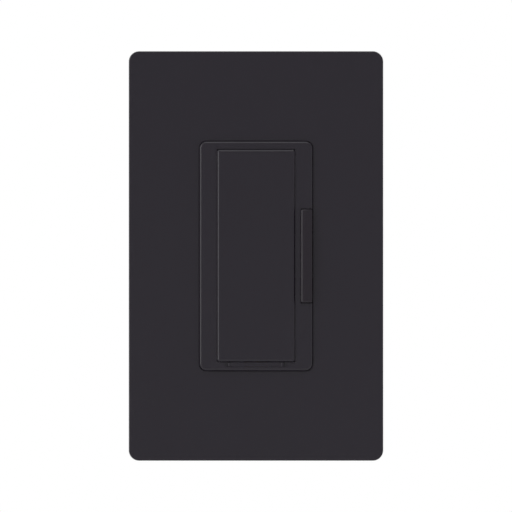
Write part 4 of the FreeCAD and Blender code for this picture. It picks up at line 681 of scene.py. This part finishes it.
def make_back_cover_screws():
    """Rear housing screws: small countersunk heads with a cross, at the housing's corners."""
    low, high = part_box("back_cover_screws")
    front = low.y
    head_radius = 2.2 * MM
    profile = [(0.04 * MM, front), (2.14 * MM, front), (head_radius, front + 0.05 * MM),
               (1.15 * MM, front + 0.95 * MM), (1.15 * MM, front + 1.7 * MM)]
    shank = (front + 1.7 * MM, high.y, 1.15 * MM, 0.8 * MM, 0.9 * MM)
    cross = [(1.3 * MM, 0.4 * MM)] * 2
    screw = one_screw("back_cover_screw", profile, front, cross, 0.6 * MM, shank)
    side, top = high.x - head_radius, high.z - head_radius
    spots = [at(x=side * i, z=top * j) for i in (-1, 1) for j in (-1, 1)]
    group = placed_copies("back_cover_screws_threaded", screw, spots)
    install(group, "chassis", "zinc_steel", "back_cover_screws")


def binding_screw(name, head_height, length):
    """Head in front of the origin, shank behind it, along Y."""
    profile = scaled([(0.05, -head_height), (2.9, -head_height), (3.2, -head_height + 0.08),
                      (3.6, -head_height + 0.65), (3.6, -0.05), (3.5, 0), (2.05, 0), (2.05, 0.3)])
    shank = (0.3 * MM, length * MM, 2.05 * MM, COARSE_PITCH, 0.8 * MM)
    return one_screw(name, profile, -head_height * MM, [(4.5 * MM, 0.5 * MM), (1.9 * MM, 0.42 * MM)],
                     0.9 * MM, shank)


def make_terminal_screws():
    """One screw through each clamp plate, coloured by what its terminal is for."""
    for name, colour in (("line", "black_steel"), ("load", "brass"), ("traveler", "blue_steel")):
        node = f"{name}_terminal_screw"
        low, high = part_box(node)
        side = 1 if low.x > 0 else -1
        outer = max(abs(low.x), abs(high.x))
        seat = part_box(f"{name}_clamp_plate")
        seat_x = max(abs(seat[0].x), abs(seat[1].x))
        inner = min(abs(low.x), abs(high.x))
        middle = (low + high) / 2
        screw = binding_screw(node, (outer - seat_x) / MM, (seat_x - inner) / MM)
        spot = at(x=seat_x * side, y=middle.y, z=middle.z, turn=90 * side)
        group = placed_copies(f"{node}_threaded", screw, [spot])
        install(group, "chassis", colour, node)


def make_ground_screw():
    """The green screw in the yoke's tab, with its head to the left."""
    low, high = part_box("ground_screw")
    middle = (low + high) / 2
    head_height = 2.2
    ear = low.x + head_height * MM
    screw = binding_screw("ground_screw", head_height, (high.x - ear) / MM)
    group = placed_copies("ground_screw_threaded", screw, [at(x=ear, y=middle.y, z=middle.z, turn=-90)])
    install(group, "chassis", "green_steel", "ground_screw")


make_device_screws()
make_adapter_screws()
make_back_cover_screws()
make_terminal_screws()
make_ground_screw()


# ---------------------------------------------------------------- winding

WIRE_RADIUS = 0.42 * MM
WIRE_CLEARANCE = 0.12 * MM                  # from the core to the wire
CORE_BORE = 4.6 * MM
TURNS = 18
TURN_STEPS = 28                             # points in one turn
WINDING_START = math.radians(-65)           # where on the core it begins and ends
WINDING_END = math.radians(245)
SQUARENESS = 6                              # how closely a turn keeps to the core's square section
FOOT_SHIFT = 0.6 * MM                       # sideways, from a winding's end to its hole in the board


def winding_route():
    """Points of one wire wound round the core, with its two ends led down to the board."""
    low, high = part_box("choke_core")
    middle = (low + high) / 2
    outer = (high.x - low.x) / 2
    mean = (outer + CORE_BORE) / 2
    half_width = (outer - CORE_BORE) / 2 + WIRE_RADIUS + WIRE_CLEARANCE
    half_depth = (high.y - low.y) / 2 + WIRE_RADIUS + WIRE_CLEARANCE
    points = []
    for index in range(TURNS * TURN_STEPS + 1):
        share = index / (TURNS * TURN_STEPS)
        around = 2 * math.pi * TURNS * share - math.pi / 2
        place = WINDING_START + (WINDING_END - WINDING_START) * share
        across = math.cos(around)
        along = math.sin(around)
        square = (abs(across) ** SQUARENESS + abs(along) ** SQUARENESS) ** (-1 / SQUARENESS)
        radius = mean + half_width * across * square
        points.append(Vector((middle.x + radius * math.cos(place), middle.y + half_depth * along * square,
                              middle.z + radius * math.sin(place))))
    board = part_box("power_board")[1].y
    feet = [Vector((end.x + FOOT_SHIFT, board, end.z)) for end in (points[0], points[-1])]
    return [feet[0], *points, feet[1]]


def make_winding():
    """The wire as a solid tube along its route."""
    points = winding_route()
    curve = bpy.data.curves.new("choke_winding_wire", "CURVE")
    curve.dimensions = "3D"
    curve.bevel_depth = WIRE_RADIUS
    curve.bevel_resolution = 3
    curve.use_fill_caps = True
    spline = curve.splines.new("POLY")
    spline.points.add(len(points) - 1)
    for point, place in zip(spline.points, points):
        point.co = (*place, 1)
    wire = bpy.data.objects.new("choke_winding_curve", curve)
    bpy.context.scene.collection.objects.link(wire)
    bpy.context.view_layer.update()
    graph = bpy.context.evaluated_depsgraph_get()
    mesh = bpy.data.meshes.new_from_object(wire.evaluated_get(graph))
    bpy.data.objects.remove(wire)
    mesh.shade_smooth()
    piece = bpy.data.objects.new("choke_winding_wire", mesh)
    bpy.context.scene.collection.objects.link(piece)
    install(piece, "chassis", "copper", "choke_winding")


make_winding()


# ---------------------------------------------------------------- snap domes


def make_snap_domes():
    """Copies of the thin domes with zero-area faces left out, each with a mesh of its own, standing in for
    the part file's domes.
    """
    for name in ("tap", "raise", "lower"):
        node = f"{name}_switch_dome"
        build = bmesh.new()
        build.from_mesh(nodes[node].data)
        tidy_faces(build)
        mesh = bpy.data.meshes.new(f"{node}_flexible")
        build.to_mesh(mesh)
        build.free()
        smooth(mesh)
        dome = bpy.data.objects.new(f"{node}_flexible", mesh)
        bpy.context.scene.collection.objects.link(dome)
        install(dome, "chassis", "spring_steel", node)
        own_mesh(dome)


make_snap_domes()


# ---------------------------------------------------------------- floor

def make_floor():
    """A pale floor a little below the object."""
    reach = 3.0
    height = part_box("wall_plate_cover")[0].z - 20 * MM
    corners = [(x * reach, y * reach, height) for x, y in ((-1, -1), (1, -1), (1, 1), (-1, 1))]
    mesh = bpy.data.meshes.new("floor")
    mesh.from_pydata(corners, [], [(0, 1, 2, 3)])
    floor = bpy.data.objects.new("floor", mesh)
    bpy.context.scene.collection.objects.link(floor)
    floor.data.materials.append(moulded("floor_paint", (0.80, 0.80, 0.80), 0.7, grain=2.0, depth=0.02))


make_floor()
